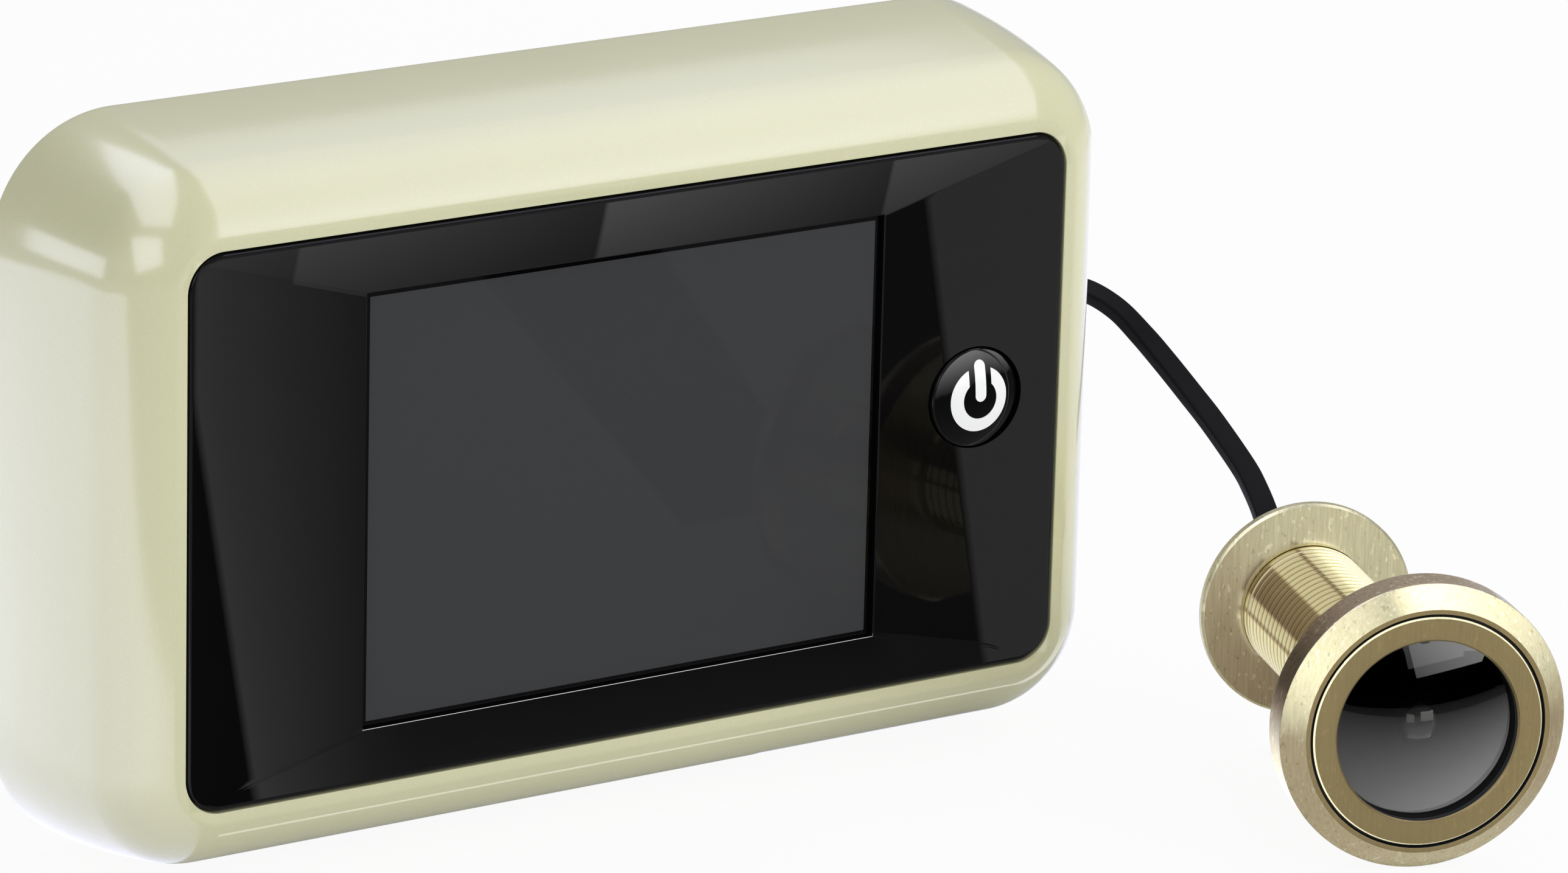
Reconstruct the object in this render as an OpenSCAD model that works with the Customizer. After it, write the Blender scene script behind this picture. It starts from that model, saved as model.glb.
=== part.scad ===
// Peephole door camera: a display unit that hangs on a door bracket, and a
// brass camera barrel that clamps through the door, joined by a flat cable.
// X runs to the right, Y into the door and Z up. The origin is the centre of
// the bracket's bore, on the door's inner face.

/* [Fascia] */
// Width of the black fascia
fascia_w = 103.2; // [98:0.2:116]
// Height of the black fascia
fascia_h = 56.8; // [55:0.2:66]
// Corner radius of the fascia
fascia_r = 3.8; // [3:0.1:5]
// Thickness of the fascia at its edge
fascia_t = 3.7; // [3.4:0.1:4.2]
// How far the sloped faces fall from the edge to the display
dish = 1.9; // [1:0.1:2.2]
// Level land round the fascia's edge
edge_land = 0.5; // [0.3:0.1:1]
// Gap between the fascia and the housing
fascia_gap = 0.2; // [0.1:0.05:0.4]

/* [Housing] */
// Depth from the front rim to the back edge
body_d = 22.7; // [22:0.1:28]
// Flat band round the fascia
band = 1; // [0.6:0.1:2]
// Radius where the band turns into the flank
crease_r = 1.2; // [0.6:0.1:2]
// Slope of the flank just behind the crease, from the depth direction
crease_angle = 56; // [50:1:62]
// Radius of the shoulder behind the crease
shoulder_r = 10.5; // [9:0.5:12]
// Slope where the shoulder runs out into the long flank
shoulder_angle = 22; // [18:1:26]
// Slope left at the back edge
draft = 3; // [1:0.5:5]
// Wall of the housing
wall = 2; // [1.6:0.1:2.4]
// Thickness of the ledge that carries the fascia
ledge_t = 2.1; // [1.6:0.1:2.6]
// Width of that ledge
ledge_w = 2.4; // [1.6:0.1:2.6]
// Radius of the four screw bosses
boss_r = 3.2; // [2.8:0.1:3.6]
// Radius of the screw holes in the bosses
boss_hole_r = 1.1; // [0.8:0.1:1.4]
// Length of those holes
boss_hole_l = 9; // [6:0.5:10]
// Room between the housing's back edge and the door
edge_clear = 0.3; // [0.1:0.1:1]

/* [Display] */
// Sloped border left and right of the display
border_side = 21; // [19:0.2:24]
// Sloped border above the display
border_top = 6.75; // [6:0.05:8]
// Sloped border below the display
border_low = 4.95; // [4.5:0.05:7]
// Lip of the fascia over the display window
window_lip = 1; // [0.8:0.1:1.2]
// Thickness of the display window
window_t = 1.1; // [0.8:0.1:1.2]
// Thickness of the display glass
panel_t = 1.4; // [1.2:0.1:1.6]
// Thickness of the backlight behind it
backlight_t = 1.4; // [1.2:0.1:1.6]
// Wall of the tray that holds both
tray_wall = 0.9; // [0.7:0.1:1]
// Floor of that tray
tray_floor = 0.8; // [0.6:0.1:1]

/* [Button] */
// Diameter of the power button
button_d = 10.6; // [9:0.2:12]
// Button centre, from the fascia's right end
button_inset = 9.8; // [8.6:0.1:11]
// Button centre, above the fascia's centre
button_z = 1; // [-3:0.1:3]
// Height of the button's dome
dome_h = 1.1; // [0.8:0.1:1.6]
// Travel of the button
button_travel = 0.7; // [0.4:0.1:0.8]
// Clearance round the button
button_clear = 0.15; // [0.1:0.05:0.25]
// Width of the lip that keeps the button in
button_lip = 0.9; // [0.6:0.1:1.1]
// Thickness of that lip
button_lip_t = 0.7; // [0.5:0.1:0.9]
// Side of the square switch
switch_w = 6; // [5:0.5:7]
// Height of the switch
switch_h = 1.4; // [1.2:0.1:1.6]
// Radius of the switch's plunger
plunger_r = 1.65; // [1.2:0.05:2]

/* [Board] */
// Thickness of the circuit board
board_t = 1.2; // [1:0.1:1.6]
// Height of the circuit board
board_h = 40; // [38:0.5:41]
// Gap between the board's ends and the housing
board_gap = 2; // [1:0.5:3]
// Radius of the posts that carry the board
post_r = 2.4; // [2:0.1:2.8]
// Side of the processor
chip_w = 12; // [8:0.5:14]
// Height of the processor
chip_h = 1.4; // [1:0.1:2]

/* [Rear] */
// Thickness of the rear cover
cover_t = 2; // [1.6:0.1:2.2]
// How far the rear cover lies inside the back edge
cover_inset = 1.9; // [1.8:0.1:2.4]
// Gap between the rear cover and the housing
cover_gap = 0.15; // [0.1:0.05:0.3]
// Wall of the pockets in the rear cover
pocket_wall = 1.2; // [1:0.1:1.4]
// Floor of the cable pocket
pocket_floor = 1.6; // [1.2:0.1:2]
// Depth of the cable pocket below the rear cover's face
pocket_d = 2.8; // [2.6:0.1:3]
// Width of the slot that lets the cable out
cable_slot = 4.4; // [4:0.1:5]
// Height of the cable slot's centre
cable_slot_z = 4.5; // [4:0.1:5]

/* [Batteries] */
// Diameter of a cell
cell_d = 10.4; // [10.2:0.05:10.5]
// Length of a cell with its cap
cell_l = 44.5; // [43:0.1:45]
// Number of cells
cells = 3; // [3]
// Gap between the cells
cell_gap = 0.3; // [0.2:0.1:0.5]
// Room for the contacts at each end of a cell
contact_room = 1.4; // [1.2:0.1:2]
// How far the battery bay reaches past the fascia's left end
bay_past = 0.9; // [0:0.1:1.5]
// Gap between the battery bay and the door bracket
bay_gap = 3; // [2.5:0.1:5]
// Thickness of the contact strips
contact_t = 0.4; // [0.3:0.1:0.6]
// Thickness of the battery cover
lid_t = 1.4; // [1.3:0.1:1.5]
// Overlap of the battery cover round its bay
lid_lap = 1; // [0.8:0.1:1.4]
// Travel that frees the battery cover
lid_travel = 6; // [5.5:0.1:7]
// Length of a hook that holds the battery cover
hook_l = 5; // [4:0.1:5.2]
// Thickness of the hooks' lips
hook_t = 0.6; // [0.5:0.1:0.7]
// Small play between sliding plastic faces
play = 0.1; // [0.05:0.05:0.15]

/* [Bracket] */
// Width of the door bracket
bracket_w = 46; // [44:0.5:50]
// Height of the door bracket
bracket_h = 50; // [48:0.5:54]
// Thickness of the door bracket
bracket_t = 1.2; // [1:0.1:1.5]
// Corner radius of the door bracket
bracket_r = 4; // [2:0.5:6]
// Radius of the bore that the barrel passes through
bore_r = 7.2; // [7.1:0.05:7.5]
// Half the distance between the hanging studs, sideways
stud_x = 18; // [17:0.5:19]
// Half the distance between the hanging studs, upwards
stud_z = 20; // [19:0.5:21]
// Radius of a stud's shank
stud_r = 2; // [1.5:0.1:2.2]
// Radius of a stud's head
stud_head_r = 3.2; // [2.8:0.1:3.4]
// Thickness of a stud's head
stud_head_t = 1.2; // [0.8:0.1:1.4]
// Clearance of the studs in their keyholes
stud_clear = 0.2; // [0.1:0.05:0.4]
// Lift that frees the display unit from the bracket
lift = 8; // [7:0.5:9]
// Radius of the two door screw holes
door_screw_r = 1.8; // [1.5:0.1:2.5]
// Distance between the door screw holes
door_screw_pitch = 38; // [34:1:42]

/* [Camera] */
// Diameter of the outside bezel ring
ring_d = 30; // [28:0.5:34]
// Front to back thickness of the bezel ring
ring_t = 5.45; // [5.2:0.05:6.5]
// Depth of the ring's chamfer
ring_chamfer_d = 1.9; // [1.4:0.1:2.4]
// Width of the ring's flat lip
ring_lip = 0.45; // [0.3:0.05:0.8]
// Radius of the cup inside the bezel ring
cup_r = 12.35; // [12:0.05:12.6]
// Thickness of the web at the back of the bezel ring
web_t = 1.85; // [1.6:0.05:2.1]
// Radius of the viewing aperture
aperture_r = 9.5; // [9:0.1:10]
// Width of the dark groove round the retaining ring
groove_w = 0.5; // [0.3:0.05:0.7]
// Depth of that groove
groove_d = 0.55; // [0.45:0.05:0.65]
// Thickness of the retaining ring
retainer_t = 1.05; // [0.95:0.05:1.15]
// Thickness of the cover glass at its rim
glass_t = 1.65; // [1.5:0.05:1.75]
// Rise of the cover glass at its middle
glass_rise = 0.7; // [0.4:0.05:1]
// Radius of the small camera lens
lens_r = 2; // [1.5:0.1:2.5]
// Length of the lens holder behind the web
holder_l = 6; // [5:0.5:8]
// Outer diameter of the threaded barrel
barrel_d = 14; // [13.9:0.01:14.1]
// Wall of the barrel
barrel_wall = 1.4; // [1.1:0.1:1.6]
// Greatest door thickness between the ring and the flange
door_max = 34.65; // [34:0.05:48]
// Diameter of the clamp flange
flange_d = 23; // [22:0.5:24]
// Thickness of the clamp flange with the boss behind it
flange_t = 2.4; // [2.2:0.1:2.8]
// Thickness of the clamp flange's thin rim
flange_rim = 1.2; // [1.1:0.1:1.3]
// How far the rim stands out past the boss
flange_step = 0.9; // [0.7:0.1:1.1]
// Depth of the seat for the ring nut in the flange
nut_seat = 1.4; // [1.2:0.1:1.5]
// Outer diameter of the ring nut
nut_d = 18.5; // [18:0.1:19]
// Running clearance on the barrel and in the seat
run_clear = 0.08; // [0.05:0.01:0.1]
// How far the barrel stands out behind the flange
barrel_tail = 0.7; // [0.5:0.1:2]
// Camera unit, right of the cable socket
camera_side = 11.4; // [10:0.1:18]
// Camera unit's front face, in front of the door's face
camera_y = -74.9; // [-90:0.1:-72]
// Height of the camera unit's axis
camera_z = -23; // [-26:0.1:-20]
// Turn of the camera unit's axis to the left
camera_yaw = 19.5; // [10:0.5:30]

/* [Cable] */
// Width of the flat cable
cable_w = 2.6; // [2:0.1:2.8]
// Thickness of the flat cable
cable_t = 1.5; // [1:0.1:1.6]
// Length of the plug on the cable
plug_l = 6.8; // [6.4:0.1:7.2]
// Width of the plug
plug_w = 7; // [6.5:0.1:7.5]
// Height of the plug
plug_h = 4.4; // [4.2:0.1:4.8]
// Wall of the socket that takes the plug
socket_wall = 0.9; // [0.7:0.1:1.1]

/* [Hidden] */
$fn = 64;
eps = 0.01;

// Heights above the door's inner face, towards the room
front_h = body_d + edge_clear;
back_h = edge_clear;
ledge_h = front_h - fascia_t;
cover_back_h = back_h + cover_inset;
cover_front_h = cover_back_h + cover_t;
pocket_h = cover_back_h + pocket_d;
lid_h = cover_back_h - play / 2;
cell_floor_h = lid_h + 2 * play + cell_d + play;
cell_h = cell_floor_h - play - cell_d / 2;
window_h = ledge_h + window_t;
tray_back_h = ledge_h - play / 2 - panel_t - backlight_t - tray_floor;
board_front_h = tray_back_h;
board_back_h = board_front_h - board_t;

// Places that follow the fascia's size, from its centre
opening_w = fascia_w - 2 * border_side;
opening_h = fascia_h - border_top - border_low;
opening_z = (border_low - border_top) / 2;
button_x = fascia_w / 2 - button_inset;
bay_w = cell_l + 2 * contact_room;
bay_right = bay_w - fascia_w / 2 - bay_past;
bore_x = bay_right + bay_gap + pocket_wall + bracket_w / 2;

// Corner centres shared by the fascia, the housing and the rear cover
corner_x = fascia_w / 2 - fascia_r;
corner_z = fascia_h / 2 - fascia_r;

// The flank is three arcs that run into each other: each has its centre, as
// distance from the corner axis and depth behind the front rim
fit_r = fascia_r + fascia_gap;
band_r = fit_r + band;
crease_c = [band_r, crease_r];
function on_arc(c, r, a) = [c[0] + r * cos(a), c[1] - r * sin(a)];
function next_centre(p, r, a) = [p[0] - r * cos(a), p[1] + r * sin(a)];
crease_end = on_arc(crease_c, crease_r, crease_angle);
shoulder_c = next_centre(crease_end, shoulder_r, crease_angle);
shoulder_end = on_arc(shoulder_c, shoulder_r, shoulder_angle);
flank_r = (body_d - shoulder_end[1]) / (sin(shoulder_angle) - sin(draft));
flank_c = next_centre(shoulder_end, flank_r, shoulder_angle);
inner_r = flank_r - wall;
function inner_angle(d) = asin((flank_c[1] - d) / inner_r);
function inner_at(d) = flank_c[0] + inner_r * cos(inner_angle(d));
function arc(c, r, a1, a2, n) = [for (i = [0 : n]) on_arc(c, r, a1 + (a2 - a1) * i / n)];
ledge_back = fascia_t + ledge_t;
ledge_r = fit_r - fascia_gap - ledge_w;
housing_profile = concat(
    [[fit_r, 0]],
    arc(crease_c, crease_r, 90, crease_angle, 4),
    arc(shoulder_c, shoulder_r, crease_angle, shoulder_angle, 7),
    arc(flank_c, flank_r, shoulder_angle, draft, 8),
    arc(flank_c, inner_r, inner_angle(body_d), inner_angle(ledge_back), 7),
    [[ledge_r, ledge_back], [ledge_r, fascia_t], [fit_r, fascia_t]]
);
body_half_w = corner_x + on_arc(flank_c, flank_r, draft)[0];
cover_r = inner_at(front_h - cover_front_h) - cover_gap;
cover_half_w = corner_x + cover_r;

// Display
window_w = opening_w + 2 * window_lip;
window_hgt = opening_h + 2 * window_lip;
tray_in_w = window_w + 2 * play;
tray_in_h = window_hgt + 2 * play;
tray_w = tray_in_w + 2 * tray_wall;
tray_h = tray_in_h + 2 * tray_wall;

// Button: its dome starts where the fascia's right slope passes its centre
slope_run = fascia_w / 2 - edge_land - opening_w / 2;
button_fall = dish * (fascia_w / 2 - edge_land - button_x) / slope_run;
button_top_h = front_h - button_fall;
button_lip_h = ledge_h - play / 2;
stem_h = button_lip_h - button_lip_t - button_travel;
switch_top_h = board_front_h + switch_h;
plunger_low_h = board_front_h + button_travel + play;

// Board, from the cable socket's side to the battery side
board_half_w = corner_x + inner_at(front_h - board_back_h) - board_gap;
post_x = corner_x - post_r;
post_z = board_h / 2 - post_r - 1;

// Batteries
cell_pitch = cell_d + cell_gap;
bay_h = cells * cell_pitch + cell_gap;
bay_x = bay_right - bay_w / 2;
lid_w = bay_w + 2 * lid_lap;
lid_hgt = bay_h + 2 * lid_lap;
lug_w = 1.2;
lug_l = hook_l - 0.5;
hook_pitch = lid_travel * 2;

// Cable bay in the rear cover, and the pocket that clears the clamp flange
flange_pocket_w = flange_d + 2;
flange_pocket_low = -flange_d / 2 - lift - 1.5;
flange_pocket_top = flange_d / 2 + 1.5;
cable_bay_low = -6;
cable_bay_top = cable_slot_z + cable_slot / 2;
socket_x = cover_half_w - bore_x - 8.8;
socket_z = 3;
socket_out_w = plug_w + 2 * (socket_wall + play);
socket_out_h = plug_h + 2 * (socket_wall + play);
cable_bay_right = socket_x + 5;
plug_low_h = pocket_h + 0.8;
socket_low_h = pocket_h + pocket_floor + 0.8;

// Camera unit along its own axis, from the front of the ring backwards
ring_r = ring_d / 2;
barrel_r = barrel_d / 2;
barrel_in_r = barrel_r - barrel_wall;
web_z = -(ring_t - web_t);
flange_z = -(ring_t + door_max);
flange_back_z = flange_z - flange_t;
barrel_end_z = flange_back_z - barrel_tail;
glass_z = -retainer_t - play / 2;
glass_back_z = glass_z - glass_t;
glass_r = cup_r - play;
seal_wire_r = (glass_back_z - web_z) / 2;
holder_flange_r = glass_r - 2 * seal_wire_r - 3 * play;
sensor_z = web_z - holder_l;
sensor_board_t = 1;
grommet_l = 3;
camera_x = socket_x + camera_side;

// Route of the cable's middle, from the plug to the back of the camera, with
// x from the cable socket
path = [
    [0, -5.8, 3], [0, -4.8, 3], [1, -3.6, 3.2], [3.5, -3.1, 3.6], [7, -3.1, 4.1],
    [11.2, -3.1, 4.5], [15.4, -3.1, 4.5], [19.2, -3.1, 4], [22.9, -3.8, 1.7], [25.7, -5, -1.4],
    [27.6, -6.9, -4.3], [29.3, -9.3, -7.4], [30.4, -12.1, -10.1], [31.5, -16.1, -13.9],
    [31.5, -18.3, -15.7], [31.1, -20.8, -17.7], [30.4, -23.2, -19.8], [29.2, -26, -21.6],
    [27.6, -29.4, -22.7], [25.8, -34.2, -23], [23.5, -40.7, -23], [20.9, -48, -23],
    [18.3, -55.3, -23], [14.95, -64.87, -23]
];
route = [for (p = path) p + [socket_x, 0, 0]];
// The cable's broad face turns towards this direction all along the route
broad_face = [-0.177, -0.5, 0.85];

function unit(v) = v / norm(v);
function tangent(i) =
    unit(route[min(i + 1, len(route) - 1)] - route[max(i - 1, 0)]);
function across(i) = unit(cross(tangent(i), broad_face));
function upwards(i) = cross(across(i), tangent(i));
// Flat section with clipped corners, eight points
clip = cable_t / 4;
section = [
    for (s = [[1, 1], [-1, 1], [-1, -1], [1, -1]], k = [0, 1])
        let (first = (s[0] * s[1] > 0) == (k == 0))
        [
            s[0] * (cable_w / 2 - (first ? 0 : clip)),
            s[1] * (cable_t / 2 - (first ? clip : 0))
        ]
];

// Puts a form drawn on the door's face upright: x stays, y becomes up and
// z becomes the height above the door towards the room
module on_door() {
    rotate([90, 0, 0]) children();
}

// The display unit's own centre, left of the bore
module on_unit() {
    on_door() translate([-bore_x, 0, 0]) children();
}

// The camera unit's own axis, z towards the lens
module on_camera() {
    translate([camera_x, camera_y, camera_z])
        rotate([0, 0, -camera_yaw]) rotate([90, 0, 0]) children();
}

module rounded(w, h, r) {
    square([w - 2 * r, h], center = true);
    square([w, h - 2 * r], center = true);
    for (x = [-1, 1], y = [-1, 1])
        translate([x * (w / 2 - r), y * (h / 2 - r)]) circle(r);
}

module slab(low, high) {
    translate([0, 0, low]) linear_extrude(high - low) children();
}

module at_corners(x, y) {
    for (i = [-1, 1], j = [-1, 1]) translate([i * x, j * y]) children();
}

// Sweeps a profile round the four sides and corners of the unit
module swept_frame() {
    for (m = [0, 1]) {
        mirror([m, 0, 0]) translate([corner_x, 0, 0]) rotate([90, 0, 0])
            linear_extrude(2 * corner_z, center = true) children();
        mirror([0, m, 0]) translate([0, corner_z, 0]) rotate([90, 0, 90])
            linear_extrude(2 * corner_x, center = true) children();
        for (n = [0, 1])
            mirror([m, 0, 0]) mirror([0, n, 0]) translate([corner_x, corner_z, 0])
                rotate_extrude(angle = 90) children();
    }
}

module front_housing() {
    slot_h = pocket_h - back_h;
    boss_top_h = front_h - ledge_back + eps;
    color("wheat") on_unit() difference() {
        union() {
            swept_frame() polygon([for (p = housing_profile) [p[0], front_h - p[1]]]);
            at_corners(corner_x, corner_z) slab(cover_front_h, boss_top_h) circle(boss_r);
        }
        at_corners(corner_x, corner_z)
            slab(cover_front_h - eps, cover_front_h + boss_hole_l) circle(boss_hole_r);
        translate([body_half_w - 2 * wall, cable_slot_z - cable_slot / 2, back_h - eps])
            cube([3 * wall, cable_slot, slot_h + eps]);
    }
}

// The four slopes as one block: wide at the front rim, narrow at the display
module dish_block() {
    w = fascia_w / 2 - edge_land;
    h = fascia_h / 2 - edge_land;
    dw = opening_w / 2;
    low = opening_z - opening_h / 2;
    top = opening_z + opening_h / 2;
    // The block starts above the rim, along the same slopes
    up = 0.2;
    grow = up / dish;
    rim = [
        [-w - grow * (w - dw), -h - grow * (h + low)], [w + grow * (w - dw), -h - grow * (h + low)],
        [w + grow * (w - dw), h + grow * (h - top)], [-w - grow * (w - dw), h + grow * (h - top)]
    ];
    display = [[-dw, low], [dw, low], [dw, top], [-dw, top]];
    polyhedron(
        points = concat(
            [for (p = display) [p[0], p[1], front_h - dish]],
            [for (p = rim) [p[0], p[1], front_h + up]]
        ),
        faces = concat(
            [[0, 1, 2, 3], [7, 6, 5, 4]],
            [for (i = [0 : 3]) [i, i + 4, (i + 1) % 4 + 4, (i + 1) % 4]]
        )
    );
}

module fascia() {
    color("black") on_unit() difference() {
        union() {
            slab(ledge_h, front_h) rounded(fascia_w, fascia_h, fascia_r);
            at_corners(post_x, post_z) slab(board_front_h, ledge_h + eps) circle(post_r);
        }
        dish_block();
        translate([0, opening_z]) slab(ledge_h - eps, front_h) square([opening_w, opening_h], center = true);
        translate([0, opening_z]) slab(ledge_h - eps, window_h)
            square([window_w + 2 * play, window_hgt + 2 * play], center = true);
        translate([button_x, button_z]) slab(ledge_h - eps, front_h + 1) circle(button_d / 2 + button_clear);
        at_corners(post_x, post_z) slab(board_front_h - eps, ledge_h) circle(boss_hole_r * 0.7);
    }
}

module display_window() {
    color([0.24, 0.24, 0.25]) on_unit() translate([0, opening_z])
        slab(ledge_h, window_h) square([window_w, window_hgt], center = true);
}

module display_panel() {
    color("dimgray") on_unit() translate([0, opening_z])
        slab(ledge_h - play / 2 - panel_t, ledge_h - play / 2) square([window_w, window_hgt], center = true);
}

module backlight() {
    color("white") on_unit() translate([0, opening_z])
        slab(tray_back_h + tray_floor, tray_back_h + tray_floor + backlight_t)
            square([window_w, window_hgt], center = true);
}

module display_tray() {
    color("silver") on_unit() translate([0, opening_z]) difference() {
        slab(tray_back_h, ledge_h - play / 2) square([tray_w, tray_h], center = true);
        slab(tray_back_h + tray_floor, ledge_h) square([tray_in_w, tray_in_h], center = true);
    }
}

module button_cap() {
    r = button_d / 2;
    dome_r = (r * r + dome_h * dome_h) / (2 * dome_h);
    color("black") on_unit() translate([button_x, button_z]) {
        intersection() {
            slab(button_lip_h - eps, button_top_h + dome_h + 1) circle(r);
            translate([0, 0, button_top_h + dome_h - dome_r]) sphere(dome_r, $fn = 128);
        }
        slab(button_lip_h - button_lip_t, button_lip_h) circle(r + button_lip);
        slab(stem_h, button_lip_h - button_lip_t + eps) circle(plunger_r - play);
    }
}

module switch_plunger() {
    color("dimgray") on_unit() translate([button_x, button_z])
        slab(plunger_low_h, stem_h) circle(plunger_r);
}

module tact_switch() {
    color("gainsboro") on_unit() translate([button_x, button_z]) difference() {
        slab(board_front_h, switch_top_h) square(switch_w, center = true);
        slab(board_front_h - eps, switch_top_h + eps) circle(plunger_r + run_clear);
    }
}

module main_board() {
    color("darkgreen") on_unit() difference() {
        slab(board_back_h, board_front_h) square([2 * board_half_w, board_h], center = true);
        at_corners(post_x, post_z) slab(board_back_h - eps, board_front_h + eps) circle(boss_hole_r);
    }
}

module processor() {
    color("black") on_unit() translate([bore_x - chip_w, -board_h / 4])
        slab(board_back_h - chip_h, board_back_h) square(chip_w, center = true);
}

module cable_socket() {
    cavity_h = plug_low_h + plug_l + play;
    color("ivory") on_door() translate([socket_x, socket_z]) difference() {
        slab(socket_low_h, board_back_h) square([socket_out_w, socket_out_h], center = true);
        slab(socket_low_h - eps, cavity_h) square([plug_w + 2 * play, plug_h + 2 * play], center = true);
    }
}

// Outline of the pocket behind the bracket, with the bay for plug and cable
module pocket_outline(grow) {
    translate([-flange_pocket_w / 2 - grow, flange_pocket_low - grow])
        square([flange_pocket_w + 2 * grow, flange_pocket_top - flange_pocket_low + 2 * grow]);
    translate([0, cable_bay_low - grow])
        square([cable_bay_right + grow, cable_bay_top - cable_bay_low + 2 * grow]);
    translate([0, cable_slot_z - cable_slot / 2 - grow])
        square([cover_half_w - bore_x, cable_slot + 2 * grow]);
}

// A stud hangs in the narrow end and comes out through the wide one
module keyhole() {
    slot_r = stud_r + stud_clear;
    translate([0, -lift]) circle(stud_head_r + 2 * stud_clear);
    circle(slot_r);
    translate([-slot_r, -lift]) square([2 * slot_r, lift]);
}

// A hook stands on the rear cover and reaches over a lug of the battery cover
module lid_hook() {
    lip_low = lid_h - 0.9 - play - hook_t;
    reach = lug_w + 2 * play;
    translate([play, -hook_l / 2, lip_low]) cube([reach + lug_w, hook_l, hook_t]);
    translate([reach, -hook_l / 2, lip_low]) cube([play + lug_w, hook_l, cover_back_h - lip_low + eps]);
}

module rear_cover() {
    bay_back = cell_floor_h + 1;
    color([0.2, 0.2, 0.2]) on_unit() difference() {
        union() {
            slab(cover_back_h, cover_front_h)
                rounded(2 * cover_half_w, 2 * (corner_z + cover_r), cover_r);
            translate([bay_x, 0]) slab(cover_back_h, bay_back)
                square([bay_w + 2 * pocket_wall, bay_h + 2 * pocket_wall], center = true);
            translate([bore_x, 0]) slab(cover_back_h, pocket_h + pocket_floor) intersection() {
                pocket_outline(pocket_wall);
                translate([-bore_x, 0]) square([2 * (corner_x + inner_at(front_h - pocket_h - pocket_floor)
                    - cover_gap), fascia_h], center = true);
            }
            for (s = [-1, 1], k = [-1 : 1])
                translate([bay_x, k * hook_pitch]) mirror([s < 0 ? 1 : 0, 0, 0])
                    translate([lid_w / 2, 0, 0]) lid_hook();
        }
        translate([bay_x, 0]) slab(cover_back_h - eps, cell_floor_h) square([bay_w, bay_h], center = true);
        translate([bore_x, 0]) slab(cover_back_h - eps, pocket_h) {
            pocket_outline(0);
            translate([cover_half_w - bore_x - 1, cable_slot_z - cable_slot / 2]) square([2, cable_slot]);
        }
        translate([bore_x + socket_x, socket_z]) slab(pocket_h - eps, pocket_h + pocket_floor + eps)
            square([plug_w + 1, plug_h + 1], center = true);
        translate([bore_x, 0]) at_corners(stud_x, stud_z)
            slab(cover_back_h - eps, cover_front_h + eps) keyhole();
        at_corners(corner_x, corner_z) {
            slab(cover_back_h - eps, cover_front_h + eps) circle(boss_hole_r + play);
            translate([0, 0, cover_back_h - eps])
                cylinder(h = boss_hole_r, r1 = 2 * boss_hole_r, r2 = boss_hole_r);
        }
    }
}

// One cell along the unit's width, with its cap at one end
module cell(k) {
    cap = 1;
    flip = k % 2;
    color("steelblue") on_unit() translate([bay_x, (k - (cells - 1) / 2) * cell_pitch, cell_h])
        mirror([flip, 0, 0]) rotate([0, 90, 0]) {
            translate([0, 0, -cell_l / 2]) cylinder(h = cell_l - cap, d = cell_d);
            translate([0, 0, cell_l / 2 - cap - eps]) cylinder(h = cap + eps, r = cell_d / 5);
        }
}

// Strip of sprung contacts at one end of the bay
module contacts(side) {
    w = contact_room - contact_t - play;
    color("lightgray") on_unit() translate([bay_x, 0, cell_h]) mirror([side, 0, 0]) {
        translate([bay_w / 2 - contact_t, -bay_h / 2 + play, -cell_d / 3])
            cube([contact_t, bay_h - 2 * play, cell_d * 2 / 3]);
        for (k = [0 : cells - 1])
            translate([bay_w / 2 - contact_t - w, (k - (cells - 1) / 2) * cell_pitch, 0])
                rotate([0, 90, 0]) cylinder(h = w + eps, r1 = cell_d / 8, r2 = cell_d / 4);
    }
}

module battery_cover() {
    ribs = 5;
    grip_w = 14;
    color([0.2, 0.2, 0.2]) on_unit() translate([bay_x, 0]) difference() {
        union() {
            slab(lid_h - lid_t, lid_h) rounded(lid_w, lid_hgt, 1.5);
            for (k = [-1 : 1]) translate([0, k * hook_pitch])
                slab(lid_h - 0.9, lid_h) square([lid_w + 2 * lug_w, lug_l], center = true);
        }
        // Grip grooves where the thumb pushes
        for (i = [0 : ribs - 1])
            translate([0, lid_hgt / 2 - 4 - 1.6 * i]) slab(lid_h - lid_t - eps, lid_h - lid_t + 0.4)
                square([grip_w, 0.8], center = true);
    }
}

module mounting_bracket() {
    shank_top = cover_front_h + 4 * play;
    color("lightslategray") on_door() difference() {
        union() {
            slab(0, bracket_t) rounded(bracket_w, bracket_h, bracket_r);
            at_corners(stud_x, stud_z) {
                slab(bracket_t - eps, shank_top) circle(stud_r);
                slab(shank_top - eps, shank_top + stud_head_t) circle(stud_head_r);
            }
        }
        slab(-eps, bracket_t + eps) {
            circle(bore_r);
            for (s = [-1, 1]) translate([0, s * door_screw_pitch / 2]) circle(door_screw_r);
        }
    }
}

module bezel_ring() {
    lip_r = cup_r + ring_lip;
    color("goldenrod") on_camera() rotate_extrude($fn = 128) polygon([
        [cup_r, 0], [lip_r, 0], [ring_r, -ring_chamfer_d], [ring_r, -ring_t],
        [barrel_r, -ring_t], [barrel_r, web_z], [cup_r, web_z]
    ]);
}

module retaining_ring() {
    edge = 0.2;
    front_r = cup_r - groove_w;
    skirt_r = cup_r - play;
    color("peru") on_camera() rotate_extrude($fn = 128) polygon([
        [aperture_r + edge, 0], [front_r - edge, 0], [front_r, -edge], [front_r, -groove_d],
        [skirt_r, -groove_d], [skirt_r, -retainer_t], [aperture_r, -retainer_t], [aperture_r, -edge]
    ]);
}

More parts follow.
